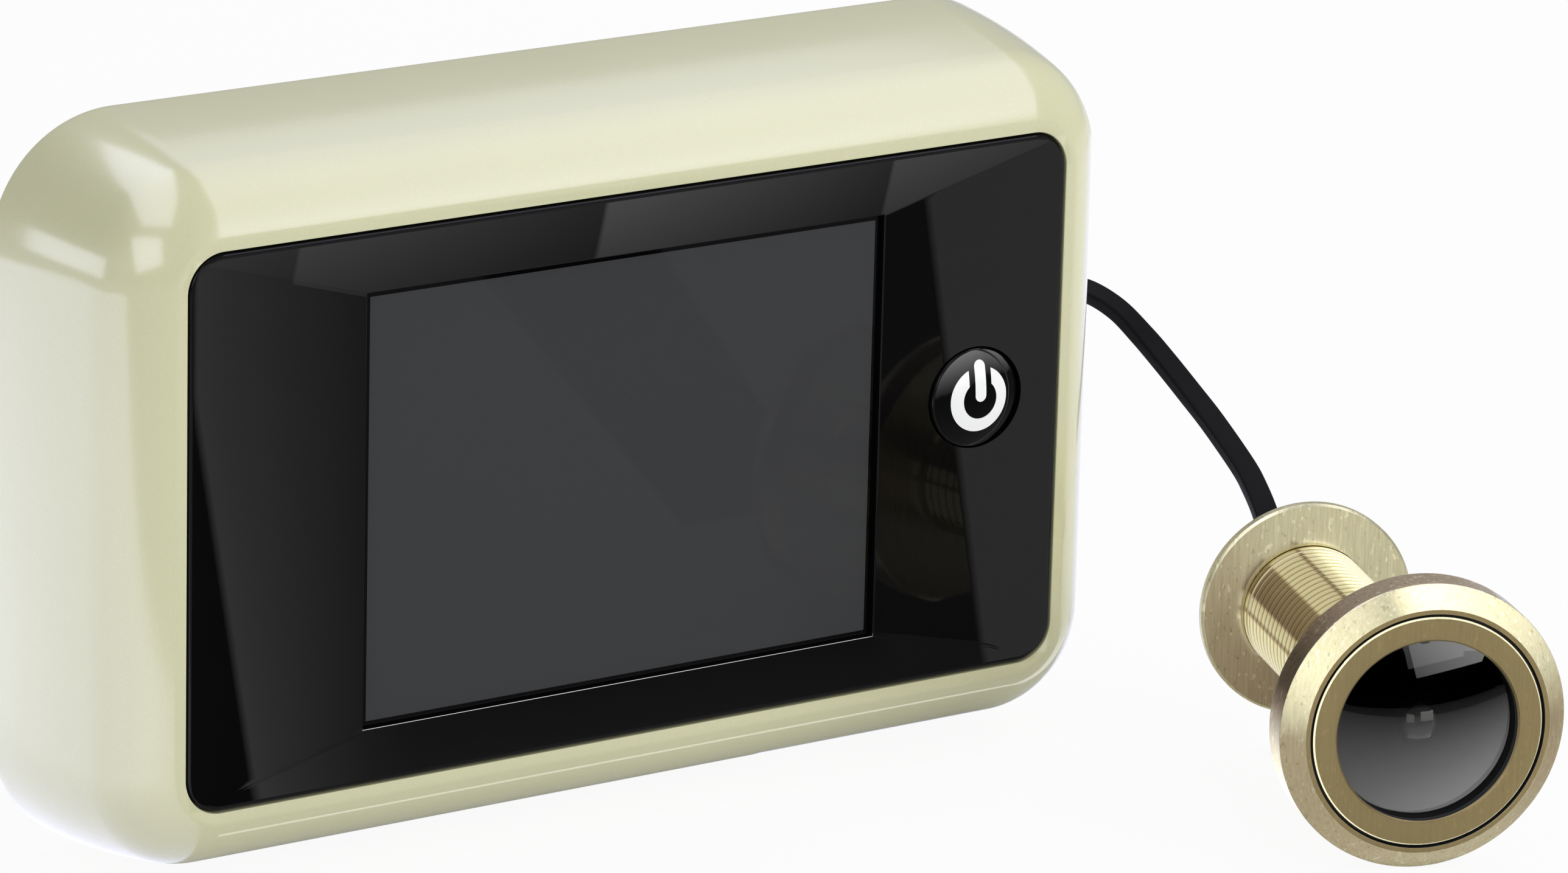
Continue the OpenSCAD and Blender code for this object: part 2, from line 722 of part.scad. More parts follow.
module cover_glass() {
    r = aperture_r - play;
    dome_r = (r * r + glass_rise * glass_rise) / (2 * glass_rise);
    color([0.1, 0.12, 0.12]) on_camera() {
        translate([0, 0, glass_back_z]) cylinder(h = glass_t, r = glass_r);
        intersection() {
            translate([0, 0, glass_back_z]) cylinder(h = glass_t + 2 * glass_rise, r = r);
            translate([0, 0, glass_z + glass_rise - dome_r]) sphere(dome_r, $fn = 128);
        }
    }
}

module seal_ring() {
    color("black") on_camera() translate([0, 0, web_z + seal_wire_r])
        rotate_extrude() translate([glass_r - seal_wire_r - play, 0]) circle(seal_wire_r);
}

module lens_holder() {
    color([0.08, 0.08, 0.08]) on_camera() difference() {
        union() {
            translate([0, 0, web_z]) cylinder(h = glass_back_z - web_z - play, r = holder_flange_r);
            translate([0, 0, sensor_z]) cylinder(h = web_z - sensor_z + eps, r = barrel_in_r - play);
        }
        translate([0, 0, sensor_z - eps]) cylinder(h = holder_l + ring_t, r = lens_r + play);
    }
}

module camera_lens() {
    front = glass_back_z - play;
    length = holder_l * 2 / 3;
    color("midnightblue") on_camera() intersection() {
        translate([0, 0, front - length]) cylinder(h = length, r = lens_r);
        translate([0, 0, front - 1.5 * lens_r]) sphere(1.5 * lens_r, $fn = 64);
        translate([0, 0, front - length + lens_r / 2]) cube(2 * length, center = true);
    }
}

module image_sensor() {
    color("dimgray") on_camera() translate([-lens_r / 2, -lens_r / 2, sensor_z])
        cube([lens_r, lens_r, 1]);
}

module sensor_board() {
    color("darkgreen") on_camera() translate([0, 0, sensor_z - sensor_board_t])
        cylinder(h = sensor_board_t, r = barrel_in_r - play);
}

module camera_barrel() {
    length = web_z - barrel_end_z;
    color("darkkhaki") on_camera() translate([0, 0, barrel_end_z]) difference() {
        cylinder(h = length, r = barrel_r);
        translate([0, 0, -eps]) cylinder(h = length + 2 * eps, r = barrel_in_r);
    }
}

module cable_grommet() {
    color([0.1, 0.1, 0.1]) on_camera() translate([0, 0, barrel_end_z]) difference() {
        cylinder(h = grommet_l, r = barrel_in_r);
        translate([0, 0, grommet_l / 2])
            cube([cable_w + 2 * play, cable_t + 2 * play, grommet_l + 2 * eps], center = true);
    }
}

module clamp_flange() {
    edge = 0.3;
    r = flange_d / 2;
    bore = barrel_r + run_clear;
    seat_r = nut_d / 2 + run_clear;
    color("darkkhaki") on_camera() rotate_extrude($fn = 128) polygon([
        [bore, flange_z], [r - edge, flange_z], [r, flange_z - edge], [r, flange_z - flange_rim],
        [r - flange_step, flange_z - flange_rim], [r - flange_step, flange_back_z],
        [seat_r, flange_back_z], [seat_r, flange_back_z + nut_seat], [bore, flange_back_z + nut_seat]
    ]);
}

module ring_nut() {
    slot_w = 1.6;
    slot_d = 0.8;
    low = flange_back_z + play / 2;
    thick = nut_seat - play;
    color("darkkhaki") on_camera() difference() {
        translate([0, 0, low]) cylinder(h = thick, d = nut_d);
        translate([0, 0, low - eps]) cylinder(h = thick + 2 * eps, r = barrel_r + run_clear);
        translate([0, 0, low + slot_d / 2 - eps]) cube([nut_d + 1, slot_w, slot_d], center = true);
    }
}

module cable_plug() {
    color("black") on_door() translate([socket_x, socket_z])
        slab(plug_low_h, plug_low_h + plug_l) square([plug_w, plug_h], center = true);
}

module camera_cable() {
    n = len(route);
    m = len(section);
    points = [
        for (i = [0 : n - 1], p = section) route[i] + p[0] * across(i) + p[1] * upwards(i)
    ];
    sides = [
        for (i = [0 : n - 2], j = [0 : m - 1])
            let (a = i * m + j, b = i * m + (j + 1) % m)
            each [[a, b, a + m], [b, b + m, a + m]]
    ];
    ends = [
        for (j = [1 : m - 2])
            each [[0, j + 1, j], [(n - 1) * m, (n - 1) * m + j, (n - 1) * m + j + 1]]
    ];
    color("black") polyhedron(points, concat(sides, ends));
}

front_housing();
fascia();
display_window();
display_panel();
backlight();
display_tray();
button_cap();
switch_plunger();
tact_switch();
main_board();
processor();
cable_socket();
rear_cover();
cell(0);  // battery_1
cell(1);  // battery_2
cell(2);  // battery_3
contacts(1);  // contact_left
contacts(0);  // contact_right
battery_cover();
mounting_bracket();
bezel_ring();
retaining_ring();
cover_glass();
seal_ring();
lens_holder();
camera_lens();
image_sensor();
sensor_board();
camera_barrel();
cable_grommet();
clamp_flange();
ring_nut();
cable_plug();
camera_cable();
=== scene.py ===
"""Looks of a peephole door camera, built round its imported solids."""
import math

import bmesh
import bpy
from mathutils import Matrix, Vector


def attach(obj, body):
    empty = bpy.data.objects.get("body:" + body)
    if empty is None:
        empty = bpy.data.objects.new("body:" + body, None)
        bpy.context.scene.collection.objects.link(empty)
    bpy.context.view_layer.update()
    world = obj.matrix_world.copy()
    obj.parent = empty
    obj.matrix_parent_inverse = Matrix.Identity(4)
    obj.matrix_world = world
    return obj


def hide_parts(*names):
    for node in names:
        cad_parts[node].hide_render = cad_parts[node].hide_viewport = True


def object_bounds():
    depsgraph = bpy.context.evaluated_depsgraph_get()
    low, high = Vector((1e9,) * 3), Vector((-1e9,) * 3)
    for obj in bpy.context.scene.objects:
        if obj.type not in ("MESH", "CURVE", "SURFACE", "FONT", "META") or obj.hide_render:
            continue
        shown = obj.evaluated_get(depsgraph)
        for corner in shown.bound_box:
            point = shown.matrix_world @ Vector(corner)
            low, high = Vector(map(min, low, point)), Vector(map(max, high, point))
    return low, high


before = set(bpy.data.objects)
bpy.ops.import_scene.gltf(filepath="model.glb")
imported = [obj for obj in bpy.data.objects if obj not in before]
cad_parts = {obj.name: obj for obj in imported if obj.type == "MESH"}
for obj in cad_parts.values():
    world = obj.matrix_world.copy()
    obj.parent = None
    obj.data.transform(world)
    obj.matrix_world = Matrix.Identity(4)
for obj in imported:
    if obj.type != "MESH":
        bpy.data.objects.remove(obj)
solid_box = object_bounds()

# Sizes are in millimetres, as the solids have them, and become metres when a mesh is made
MM = 0.001
BORE_X = 22.0
FRONT_H = 23.0
BODY_D = 22.7
CORNER_X = 47.8
CORNER_Z = 24.6
FASCIA_R = 3.8
FIT_R = 4.0
BAND_W = 1.0
CREASE_R = 1.2
LEDGE_R = 1.4
FASCIA_T = 3.7
LEDGE_BACK = 5.8
LEDGE_H = 19.3
WALL = 2.0
SLOT_Z = (2.3, 6.7)
SLOT_TOP_H = 5.0
SCREW_Y = -2.28
# Housing's shoulder: it turns from the first angle to the second with this radius
SHOULDER = (68.0, 13.0, 9.644)

# Sloped faces of the fascia
RIM_W = 51.1
RIM_H = 27.9
DISH = 1.9
OPENING_W = 30.6
OPENING_TOP = 21.65
OPENING_LOW = 23.45
SIDE_RUN = RIM_W - OPENING_W
TOP_RUN = RIM_H - OPENING_TOP
LOW_RUN = RIM_H - OPENING_LOW
WINDOW_H = 20.4
WINDOW_LIP = 1.1

# Button and its sign
BUTTON_X = 41.8
BUTTON_Z = 1.0
BUTTON_R = 5.3
BUTTON_HOLE_R = 5.45
BUTTON_APEX_H = 23.24
DOME_R = 13.318
BUTTON_LIP_R = 6.2
BUTTON_LIP_H = (19.25, 18.55)
BUTTON_STEM_R = 1.55
BUTTON_STEM_H = 17.85

# Camera unit, along its own axis
RING = (39.3542, -74.9, -23.0)
CAMERA_YAW = 19.5
BARREL_R = 7.0
BARREL_IN_R = 5.6
BARREL_FRONT = -5.45
BARREL_END = -43.2
WEB_Z = -3.6
FLANGE_Z = -40.1
GLASS_R = 9.4
GLASS_RISE = 0.7
GLASS_FRONT = -1.1
GLASS_BACK = -2.75
GLASS_EDGE_R = 12.25
GLASS_CROWN = (GLASS_R ** 2 + GLASS_RISE ** 2) / (2 * GLASS_RISE)
LENS_R = 2.0
LENS_RISE = 1.1
LENS_FRONT = -2.85
LENS_BACK = -6.5
FLANGE_BACK = -42.5
THREAD_PITCH = 1.2
THREAD_DEPTH = 0.14
THREAD_HALF = 0.62
THREAD_INSET = 0.3
# Depth over which the painted shade in the thread's valleys fades out
VALLEY_DEPTH = 0.105
CORE_R = 6.8
FLANGE_RIM = 1.2
FLANGE_STEP = 0.9
FLANGE_R = 11.5

# Profiles turned about the camera's axis: radius, height and the easing of each corner
BEZEL = (
    (12.35, 0, 0.06), (12.8, 0, 0.1), (15.0, -1.9, 0.12), (15.0, -5.45, 0.15), (7.0, -5.45, 0),
    (7.0, -3.6, 0), (12.35, -3.6, 0.1),
)
RETAINER = (
    (9.7, 0, 0.03), (11.87, 0, 0.03), (12.05, -0.18, 0.03), (12.05, -0.55, 0), (12.25, -0.55, 0),
    (12.25, -1.05, 0), (9.5, -1.05, 0), (9.5, -0.2, 0.03),
)
HOLDER = (
    (2.1, -2.95, 0.08), (2.5, -2.9, 0.08), (3.4, -3.2, 0.1), (11.1, -3.3, 0), (11.1, -3.6, 0),
    (5.5, -3.6, 0.1), (5.5, -9.6, 0.1), (2.1, -9.6, 0),
)
TUBE = (
    (BARREL_IN_R, WEB_Z, 0), (BARREL_R, WEB_Z, 0), (BARREL_R, BARREL_FRONT - 0.3, 0.1),
    (CORE_R, BARREL_FRONT - 0.5, 0), (CORE_R, BARREL_END + 0.4, 0), (6.4, BARREL_END, 0.05),
    (BARREL_IN_R, BARREL_END, 0.1),
)
FLANGE = (
    (7.02, FLANGE_Z, 0.02), (11.25, FLANGE_Z, 0.05), (FLANGE_R, FLANGE_Z - 0.25, 0.05),
    (FLANGE_R, FLANGE_Z - FLANGE_RIM, 0.12), (FLANGE_R - FLANGE_STEP, FLANGE_Z - FLANGE_RIM, 0.1),
    (FLANGE_R - FLANGE_STEP, FLANGE_BACK, 0.15), (9.33, FLANGE_BACK, 0.08),
    (9.33, FLANGE_BACK + 1.4, 0), (7.02, FLANGE_BACK + 1.4, 0.05),
)

# Cable's middle line, from the plug in the display unit to the back of the camera
SOCKET_X = 27.9542
CABLE_W = 2.6
CABLE_T = 1.5
CABLE_EDGE = 0.3
BROAD_FACE = Vector((-0.177, -0.5, 0.85))
CABLE_PATH = (
    (0, -5.8, 3), (0, -4.8, 3), (1, -3.6, 3.2), (3.5, -3.1, 3.6), (7, -3.1, 4.1),
    (11.2, -3.1, 4.5), (15.4, -3.1, 4.5), (19.2, -3.1, 4), (22.9, -3.8, 1.7), (25.7, -5, -1.4),
    (27.6, -6.9, -4.3), (29.3, -9.3, -7.4), (30.4, -12.1, -10.1), (31.5, -16.1, -13.9),
    (31.5, -18.3, -15.7), (31.1, -20.8, -17.7), (30.4, -23.2, -19.8), (29.2, -26, -21.6),
    (27.6, -29.4, -22.7), (25.8, -34.2, -23), (23.5, -40.7, -23), (20.9, -48, -23),
    (18.3, -55.3, -23), (14.95, -64.87, -23),
)

camera_axis = (
    Matrix.Translation(RING)
    @ Matrix.Rotation(math.radians(-CAMERA_YAW), 4, "Z")
    @ Matrix.Rotation(math.radians(90), 4, "X")
)
camera_spin = camera_axis.to_3x3()
camera_back = camera_axis.inverted()
button_axis = (
    Matrix.Translation((BUTTON_X - BORE_X, 0, BUTTON_Z)) @ Matrix.Rotation(math.radians(90), 4, "X")
)


def panel(x, z, h):
    """A point of the display unit: x and z from the fascia's centre, h above the door."""
    return Vector((x - BORE_X, -h, z))


class Value:
    """One socket of a finish, so that shader maths is written as sums."""

    def __init__(self, finish, socket):
        self.finish = finish
        self.socket = socket

    def _math(self, operation, first, second):
        return self.finish.node("ShaderNodeMath", {"operation": operation}, {0: first, 1: second})

    def __add__(self, other):
        return self._math("ADD", self, other)

    def __radd__(self, other):
        return self._math("ADD", other, self)

    def __sub__(self, other):
        return self._math("SUBTRACT", self, other)

    def __rsub__(self, other):
        return self._math("SUBTRACT", other, self)

    def __mul__(self, other):
        return self._math("MULTIPLY", self, other)

    def __rmul__(self, other):
        return self._math("MULTIPLY", other, self)

    def __lt__(self, other):
        return self._math("LESS_THAN", self, other)

    def __gt__(self, other):
        return self._math("GREATER_THAN", self, other)

    def __abs__(self):
        return self._math("ABSOLUTE", self, 0)


class Finish:
    """A material with a principled shader. Constants go straight on the shader's sockets."""

    def __init__(self, name, **constants):
        self.material = bpy.data.materials.new(name)
        self.material.use_nodes = True
        self.tree = self.material.node_tree
        self.shader = self.tree.nodes["Principled BSDF"]
        for key, value in constants.items():
            self.shader.inputs[key.replace("_", " ")].default_value = value

    def node(self, kind, settings=None, inputs=None, out=0):
        made = self.tree.nodes.new(kind)
        for key, value in (settings or {}).items():
            if key == "stops":
                ramp = made.color_ramp
                while len(ramp.elements) < len(value):
                    ramp.elements.new(1.0)
                for stop, (place, tone) in zip(ramp.elements, value):
                    stop.position = place
                    stop.color = tone
            else:
                setattr(made, key, value)
        for key, value in (inputs or {}).items():
            self.feed(made.inputs[key], value)
        return Value(self, made.outputs[out])

    def feed(self, socket, value):
        if isinstance(value, Value):
            self.tree.links.new(value.socket, socket)
        else:
            socket.default_value = value

    def drive(self, name, value):
        """Feeds one of the shader's own sockets."""
        self.feed(self.shader.inputs[name], value)

    def place(self, stretch=(1, 1, 1)):
        """Object coordinates, stretched."""
        spot = self.node("ShaderNodeTexCoord", out="Object")
        return self.node("ShaderNodeMapping", None, {"Vector": spot, "Scale": stretch})

    def noise(self, scale, stretch=(1, 1, 1), detail=2.0, rough=0.5):
        inputs = {"Vector": self.place(stretch), "Scale": scale, "Detail": detail, "Roughness": rough}
        return self.node("ShaderNodeTexNoise", None, inputs, out="Fac")

    def ramp(self, value, *stops):
        """Maps a value to greys or colours."""
        tones = []
        for place, shade in stops:
            tones.append((place, shade if isinstance(shade, tuple) else tone(shade, shade, shade)))
        return self.node("ShaderNodeValToRGB", {"stops": tones}, {"Fac": value}, out="Color")

    def blend(self, factor, first, second):
        """Mixes two colours."""
        inputs = {0: factor, 6: first, 7: second}
        return self.node("ShaderNodeMix", {"data_type": "RGBA"}, inputs, out=2)

    def attribute(self, name):
        return self.node("ShaderNodeAttribute", {"attribute_name": name}, out="Fac")

    def surface(self, shader):
        """Shows another shader than the principled one."""
        self.tree.links.new(shader.socket, self.tree.nodes["Material Output"].inputs["Surface"])

    def bump(self, height, strength, distance):
        inputs = {"Strength": strength, "Distance": distance, "Height": height}
        self.drive("Normal", self.node("ShaderNodeBump", None, inputs, out="Normal"))


def tone(red, green, blue):
    return (red, green, blue, 1.0)


def pearl_cream():
    """Pearl lacquer: a cream body with fine flecks under a clear coat."""
    f = Finish("pearl_cream", IOR=1.5, Coat_Weight=1.0, Coat_Roughness=0.13, Coat_IOR=1.5)
    cloud = f.noise(55, detail=3)
    fleck = f.noise(5200, detail=1)
    body = f.blend(cloud, tone(0.61, 0.597, 0.37), tone(0.645, 0.632, 0.398))
    f.drive("Base Color", f.blend(f.ramp(fleck, (0.55, 0.0), (0.75, 0.3)), body, tone(0.73, 0.72, 0.515)))
    f.drive("Roughness", 0.2 + cloud * 0.08)
    f.bump(f.noise(1400, detail=1), 0.03, 0.00004)
    return f.material


def gloss_black(name="gloss_black", base=0.002):
    """Polished black plastic, faintly smeared."""
    f = Finish(name, IOR=1.25)
    smear = f.noise(70, detail=4, rough=0.6)
    dark = tone(base, base, base * 1.15)
    light = tone(base * 1.6, base * 1.6, base * 1.8)
    f.drive("Base Color", f.blend(smear, dark, light))
    f.drive("Roughness", 0.018 + smear * 0.03)
    return f.material


def display_glass():
    """The display's window: a black border round a dark grey film."""
    f = Finish("display_glass", IOR=1.15)
    spot = f.node("ShaderNodeTexCoord", out="Object")
    x = f.node("ShaderNodeSeparateXYZ", None, {0: spot}, out="X")
    z = f.node("ShaderNodeSeparateXYZ", None, {0: spot}, out="Z")
    lit_w, lit_h, lit_z = 29.9 * MM, 21.95 * MM, -0.9 * MM
    inside = (abs(x + BORE_X * MM) < lit_w) * (abs(z - lit_z) < lit_h)
    grain = f.noise(9000, detail=1)
    film = f.blend(grain, tone(0.0435, 0.0442, 0.047), tone(0.0485, 0.0492, 0.052))
    f.drive("Base Color", f.blend(inside, tone(0.0015, 0.0015, 0.0018), film))
    f.drive("Roughness", 0.02 + f.noise(60, detail=3) * 0.03)
    return f.material


def brushed_brass(name, light, dark, rough, specks):
    """Brass brushed up and down, with small pits and bright nicks."""
    f = Finish(name, Metallic=1.0)
    hair = f.noise(4200, (1, 1, 0.05), detail=3, rough=0.7)
    patch = f.noise(160, (1, 1, 0.6), detail=2)
    pit = f.ramp(f.noise(2300, (1, 1, 0.55), detail=1), (0.66, 0.0), (0.73, specks * 0.6))
    nick = f.ramp(f.noise(2100, (1, 1, 0.5), detail=1, rough=0.4), (0.29, specks), (0.35, 0.0))
    streak = f.ramp(hair, (0.34, 0.0), (0.66, 1.0))
    body = f.blend(streak * 0.55 + patch * 0.45, dark, light)
    body = f.blend(pit, body, tone(*(c * 0.45 for c in dark[:3])))
    f.drive("Base Color", f.blend(nick, body, tone(*(min(1.0, c * 1.3) for c in light[:3]))))
    f.drive("Roughness", rough + hair * 0.16 - 0.06)
    f.bump(hair + nick * 1.5 - pit * 1.5, 0.22, 0.00002)
    return f.material


def thread_brass():
    """Bright cut brass with random stains, and painted shade that darkens the valleys of its thread."""
    f = Finish("thread_brass", Metallic=1.0)
    stain = f.noise(420, detail=3)
    body = f.blend(stain, tone(0.80, 0.71, 0.37), tone(0.92, 0.84, 0.48))
    # Painted shade: the base colour turns deep brown towards the bottom of each thread groove.
    f.drive("Base Color", f.blend(f.attribute("valley"), body, tone(0.17, 0.115, 0.04)))
    f.drive("Roughness", 0.13 + stain * 0.12)
    f.bump(f.noise(4200, detail=2), 0.05, 0.00002)
    return f.material


def clouded(name, first, second, scale, detail, rough, spread, grain=None, **constants):
    """A slow change between two tones and in roughness, with a fine grain where there is one."""
    f = Finish(name, **constants)
    cloud = f.noise(scale, detail=detail)
    f.drive("Base Color", f.blend(cloud, tone(*first), tone(*second)))
    f.drive("Roughness", rough + cloud * spread)
    if grain:
        size, strength, distance = grain
        f.bump(f.noise(size, detail=2), strength, distance)
    return f.material


def moulded_black(name, base, rough, grain, gloss=0.5):
    first = (base, base, base * 1.05)
    second = (base * 1.7, base * 1.7, base * 1.75)
    sand = (grain, 0.25, 0.00005)
    return clouded(name, first, second, 90, 3, rough, 0.12, sand, Specular_IOR_Level=gloss)


def coated(name, first, second, rough, scale, metal=0.0, bump=0.1):
    return clouded(name, first, second, scale, 4, rough, 0.14, (scale * 18, bump, 0.00003), Metallic=metal)


def board_green():
    """Green lacquer over a plain net of tracks."""
    f = Finish("board_green", Coat_Weight=0.3)
    inputs = {"Vector": f.place((420, 420, 420)), "Scale": 1.0, "Mortar Size": 0.06}
    tracks = f.node("ShaderNodeTexBrick", {"offset": 0.5}, inputs, out="Fac")
    f.drive("Base Color", f.blend(tracks, tone(0.012, 0.075, 0.032), tone(0.03, 0.15, 0.06)))
    f.drive("Roughness", 0.34 + f.noise(300) * 0.1)
    f.bump(tracks, 0.1, 0.00003)
    return f.material


def cell_jacket():
    """A plain jacket: dark body and a copper-coloured end, split along the cell."""
    f = Finish("cell_jacket", Metallic=0.6)
    spot = f.node("ShaderNodeTexCoord", out="Object")
    x = f.node("ShaderNodeSeparateXYZ", None, {0: spot}, out="X")
    end_x = -0.062
    print_grain = f.noise(1500, (0.1, 1, 1))
    body = f.blend(x > end_x, tone(0.55, 0.27, 0.10), tone(0.02, 0.022, 0.026))
    f.drive("Base Color", f.blend(print_grain * 0.15, body, tone(0.3, 0.3, 0.3)))
    f.drive("Roughness", 0.25 + print_grain * 0.1)
    return f.material


def cable_jacket():
    """Soft black jacket: its fine grain also changes the roughness."""
    f = Finish("cable_jacket", Specular_IOR_Level=0.09)
    draw = f.noise(2600, detail=2)
    slow = f.noise(150, detail=2)
    f.drive("Base Color", f.blend(slow, tone(0.0025, 0.0025, 0.003), tone(0.005, 0.005, 0.0055)))
    f.drive("Roughness", 0.40 + draw * 0.16)
    f.bump(draw, 0.12, 0.00003)
    return f.material


FINISHES = {
    "cream": pearl_cream(),
    "black": gloss_black(),
    "button": gloss_black("button_black", 0.0022),
    "display": display_glass(),
    "sign": clouded("sign_white", (0.955, 0.955, 0.96), (0.985, 0.985, 0.985), 3000, 2, 0.35, 0.1),
    "ring": brushed_brass(
        "ring_brass", tone(0.88, 0.83, 0.57), tone(0.63, 0.57, 0.34), 0.27, 0.6),
    # Painted shade: a darker, greyer copy of the ring brass for the bezel's outer side wall.
    "shaded_ring_side": brushed_brass(
        "ring_side_brass", tone(0.66, 0.60, 0.47), tone(0.40, 0.33, 0.21), 0.27, 0.9),
    "retainer": brushed_brass(
        "retainer_brass", tone(0.39, 0.303, 0.146), tone(0.31, 0.239, 0.113), 0.42, 0.25),
    "flange": brushed_brass(
        "flange_brass", tone(0.78, 0.73, 0.47), tone(0.54, 0.48, 0.30), 0.34, 0.6),
    "thread": thread_brass(),
    "dome": clouded(
        "dome_glass", (0.60, 0.62, 0.60), (0.66, 0.68, 0.66), 120, 3, 0.0, 0.004,
        IOR=1.5, Transmission_Weight=1.0, Coat_Weight=1.0, Coat_IOR=1.9, Coat_Roughness=0.0),
    "lens": clouded(
        "lens_glass", (0.15, 0.15, 0.14), (0.24, 0.235, 0.215), 600, 2, 0.08, 0.08,
        IOR=1.6, Coat_Weight=1.0, Coat_Roughness=0.02),
    "holder": moulded_black("holder_black", 0.0015, 0.8, 2500, 0.03),
    "cable": cable_jacket(),
    # Black finish for the soft parts, also used as painted shade in the groove of the camera's brass rings
    "rubber": moulded_black("soft_rubber", 0.008, 0.6, 1500),
    "rear": moulded_black("rear_plastic", 0.018, 0.42, 2200),
    "bracket": coated("bracket_coat", (0.20, 0.205, 0.21), (0.26, 0.265, 0.27), 0.38, 130, 0.2, 0.35),
    "steel": coated("tinned_steel", (0.52, 0.52, 0.50), (0.68, 0.68, 0.65), 0.24, 200, 1.0),
    "screw": coated("screw_steel", (0.10, 0.10, 0.105), (0.17, 0.17, 0.175), 0.28, 500, 1.0),
    "nylon": coated("white_nylon", (0.62, 0.60, 0.52), (0.72, 0.70, 0.63), 0.42, 240),
    "guide": coated("light_guide", (0.74, 0.76, 0.76), (0.84, 0.85, 0.85), 0.2, 90),
    "stack": coated("display_stack", (0.03, 0.032, 0.036), (0.06, 0.062, 0.068), 0.12, 60),
    "chip": moulded_black("chip_black", 0.012, 0.5, 1800),
    "board": board_green(),
    "cell": cell_jacket(),
}


def linked(name, data):
    """A new object in the scene."""
    thing = bpy.data.objects.new(name, data)
    bpy.context.scene.collection.objects.link(thing)
    return thing


def finished(mesh, sharp=35):
    """Merges doubles, turns faces outwards and keeps edges crisp past an angle in degrees."""
    bm = bmesh.new()
    bm.from_mesh(mesh)
    bmesh.ops.remove_doubles(bm, verts=bm.verts, dist=1e-7)
    bmesh.ops.recalc_face_normals(bm, faces=bm.faces)
    limit = math.radians(sharp)
    for face in bm.faces:
        face.smooth = True
    for edge in bm.edges:
        edge.smooth = edge.calc_face_angle(math.pi) < limit
    bm.to_mesh(mesh)
    bm.free()
    return weighted(mesh)


def run_once(name, mesh, kind, settings):
    """Runs one modifier on a mesh and returns the plain mesh it gives."""
    carrier = linked(name, mesh)
    run = carrier.modifiers.new(name, kind)
    settings(run)
    bpy.context.view_layer.update()
    made = bpy.data.meshes.new_from_object(carrier.evaluated_get(bpy.context.evaluated_depsgraph_get()))
    carrier.modifiers.remove(run)
    bpy.data.objects.remove(carrier)
    return made


def weighted(mesh):
    """Shading that follows the broad faces, so that flats stay flat between eased edges."""
    def settings(run):
        run.keep_sharp = True
        run.weight = 80

    name = mesh.name
    made = run_once(name, mesh, "WEIGHTED_NORMAL", settings)
    bpy.data.meshes.remove(mesh)
    made.name = name
    return made


def mesh_of(name, points, faces, sharp=35):
    mesh = bpy.data.meshes.new(name)
    mesh.from_pydata([Vector(p) * MM for p in points], [], faces)
    return finished(mesh, sharp)


def piece(name, mesh, body, finish, stands_for=()):
    """A finished mesh that rides on a body and may stand for solids."""
    thing = linked(name, mesh)
    mesh.materials.clear()
    mesh.materials.append(FINISHES[finish])
    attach(thing, body)
    if stands_for:
        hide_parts(*stands_for)
    return thing


def eased(corners, steps):
    """A closed outline with rounded corners. Each corner has two measures and a radius."""
    count = len(corners)
    done = []
    for i, (x, y, radius) in enumerate(corners):
        here = Vector((x, y))
        back = Vector(corners[i - 1][:2]) - here
        ahead = Vector(corners[(i + 1) % count][:2]) - here
        half = back.angle(ahead) / 2
        if radius <= 0 or half > 1.55:
            done.append((here.x, here.y))
            continue
        run = min(radius / math.tan(half), 0.48 * back.length, 0.48 * ahead.length)
        radius = run * math.tan(half)
        back.normalize()
        ahead.normalize()
        centre = here + (back + ahead).normalized() * (radius / math.sin(half))
        start = (here + back * run - centre).normalized()
        end = (here + ahead * run - centre).normalized()
        for k in range(steps + 1):
            way = start.slerp(end, k / steps)
            done.append((centre.x + radius * way.x, centre.y + radius * way.y))
    return done


def wall(rings, count, closed=True, keep=lambda ring, spot: True):
    """Faces between rings of points that all have the same count."""
    faces = []
    for i in range(rings if closed else rings - 1):
        n = (i + 1) % rings
        for j in range(count):
            k = (j + 1) % count
            if keep(i, j):
                faces.append((i * count + j, i * count + k, n * count + k, n * count + j))
    return faces


def turned(name, profile, place, sharp=35, turns=160):
    """A closed profile of radius and height, turned about an axis."""
    points = []
    for k in range(turns):
        a = 2 * math.pi * k / turns
        points += [place @ Vector((r * math.cos(a), r * math.sin(a), z)) for r, z in profile]

    def off_axis(_, j):
        return max(profile[j][0], profile[(j + 1) % len(profile)][0]) > 1e-6

    return mesh_of(name, points, wall(turns, len(profile), True, off_axis), sharp)


def arc(centre, radius, first, last, steps):
    """Points of a flank arc: radius from the corner axis, depth behind the rim."""
    return [
        (centre[0] + radius * math.cos(math.radians(a)), centre[1] - radius * math.sin(math.radians(a)))
        for a in (first + (last - first) * k / steps for k in range(steps + 1))
    ]


def next_centre(end, radius, angle):
    a = math.radians(angle)
    return (end[0] - radius * math.cos(a), end[1] + radius * math.sin(a))


def corner_stations(marks, steps, right_marks=()):
    """Places round the unit, from its right side: a corner's centre and the way outwards."""
    done = []

    def side(first, last, way, extra=()):
        parts = sorted({0.125 * k for k in range(1, 8)} | set(extra))
        for t in parts:
            done.append((first[0] + (last[0] - first[0]) * t, first[1] + (last[1] - first[1]) * t, *way))

    def corner(x, z, first, extra):
        for a in sorted({first + 90 * k / steps for k in range(steps + 1)} | set(extra)):
            done.append((x, z, math.cos(math.radians(a)), math.sin(math.radians(a))))

    cx, cz = CORNER_X, CORNER_Z
    side((cx, -cz), (cx, cz), (1, 0), [(z + cz) / (2 * cz) for z in right_marks])
    corner(cx, cz, 0, [a for a in marks if 0 < a < 90])
    side((cx, cz), (-cx, cz), (0, 1))
    corner(-cx, cz, 90, [a for a in marks if 90 < a < 180])
    side((-cx, cz), (-cx, -cz), (-1, 0))
    corner(-cx, -cz, 180, [a for a in marks if 180 < a < 270])
    side((-cx, -cz), (cx, -cz), (0, -1))
    corner(cx, -cz, 270, [a for a in marks if 270 < a < 360])
    return done


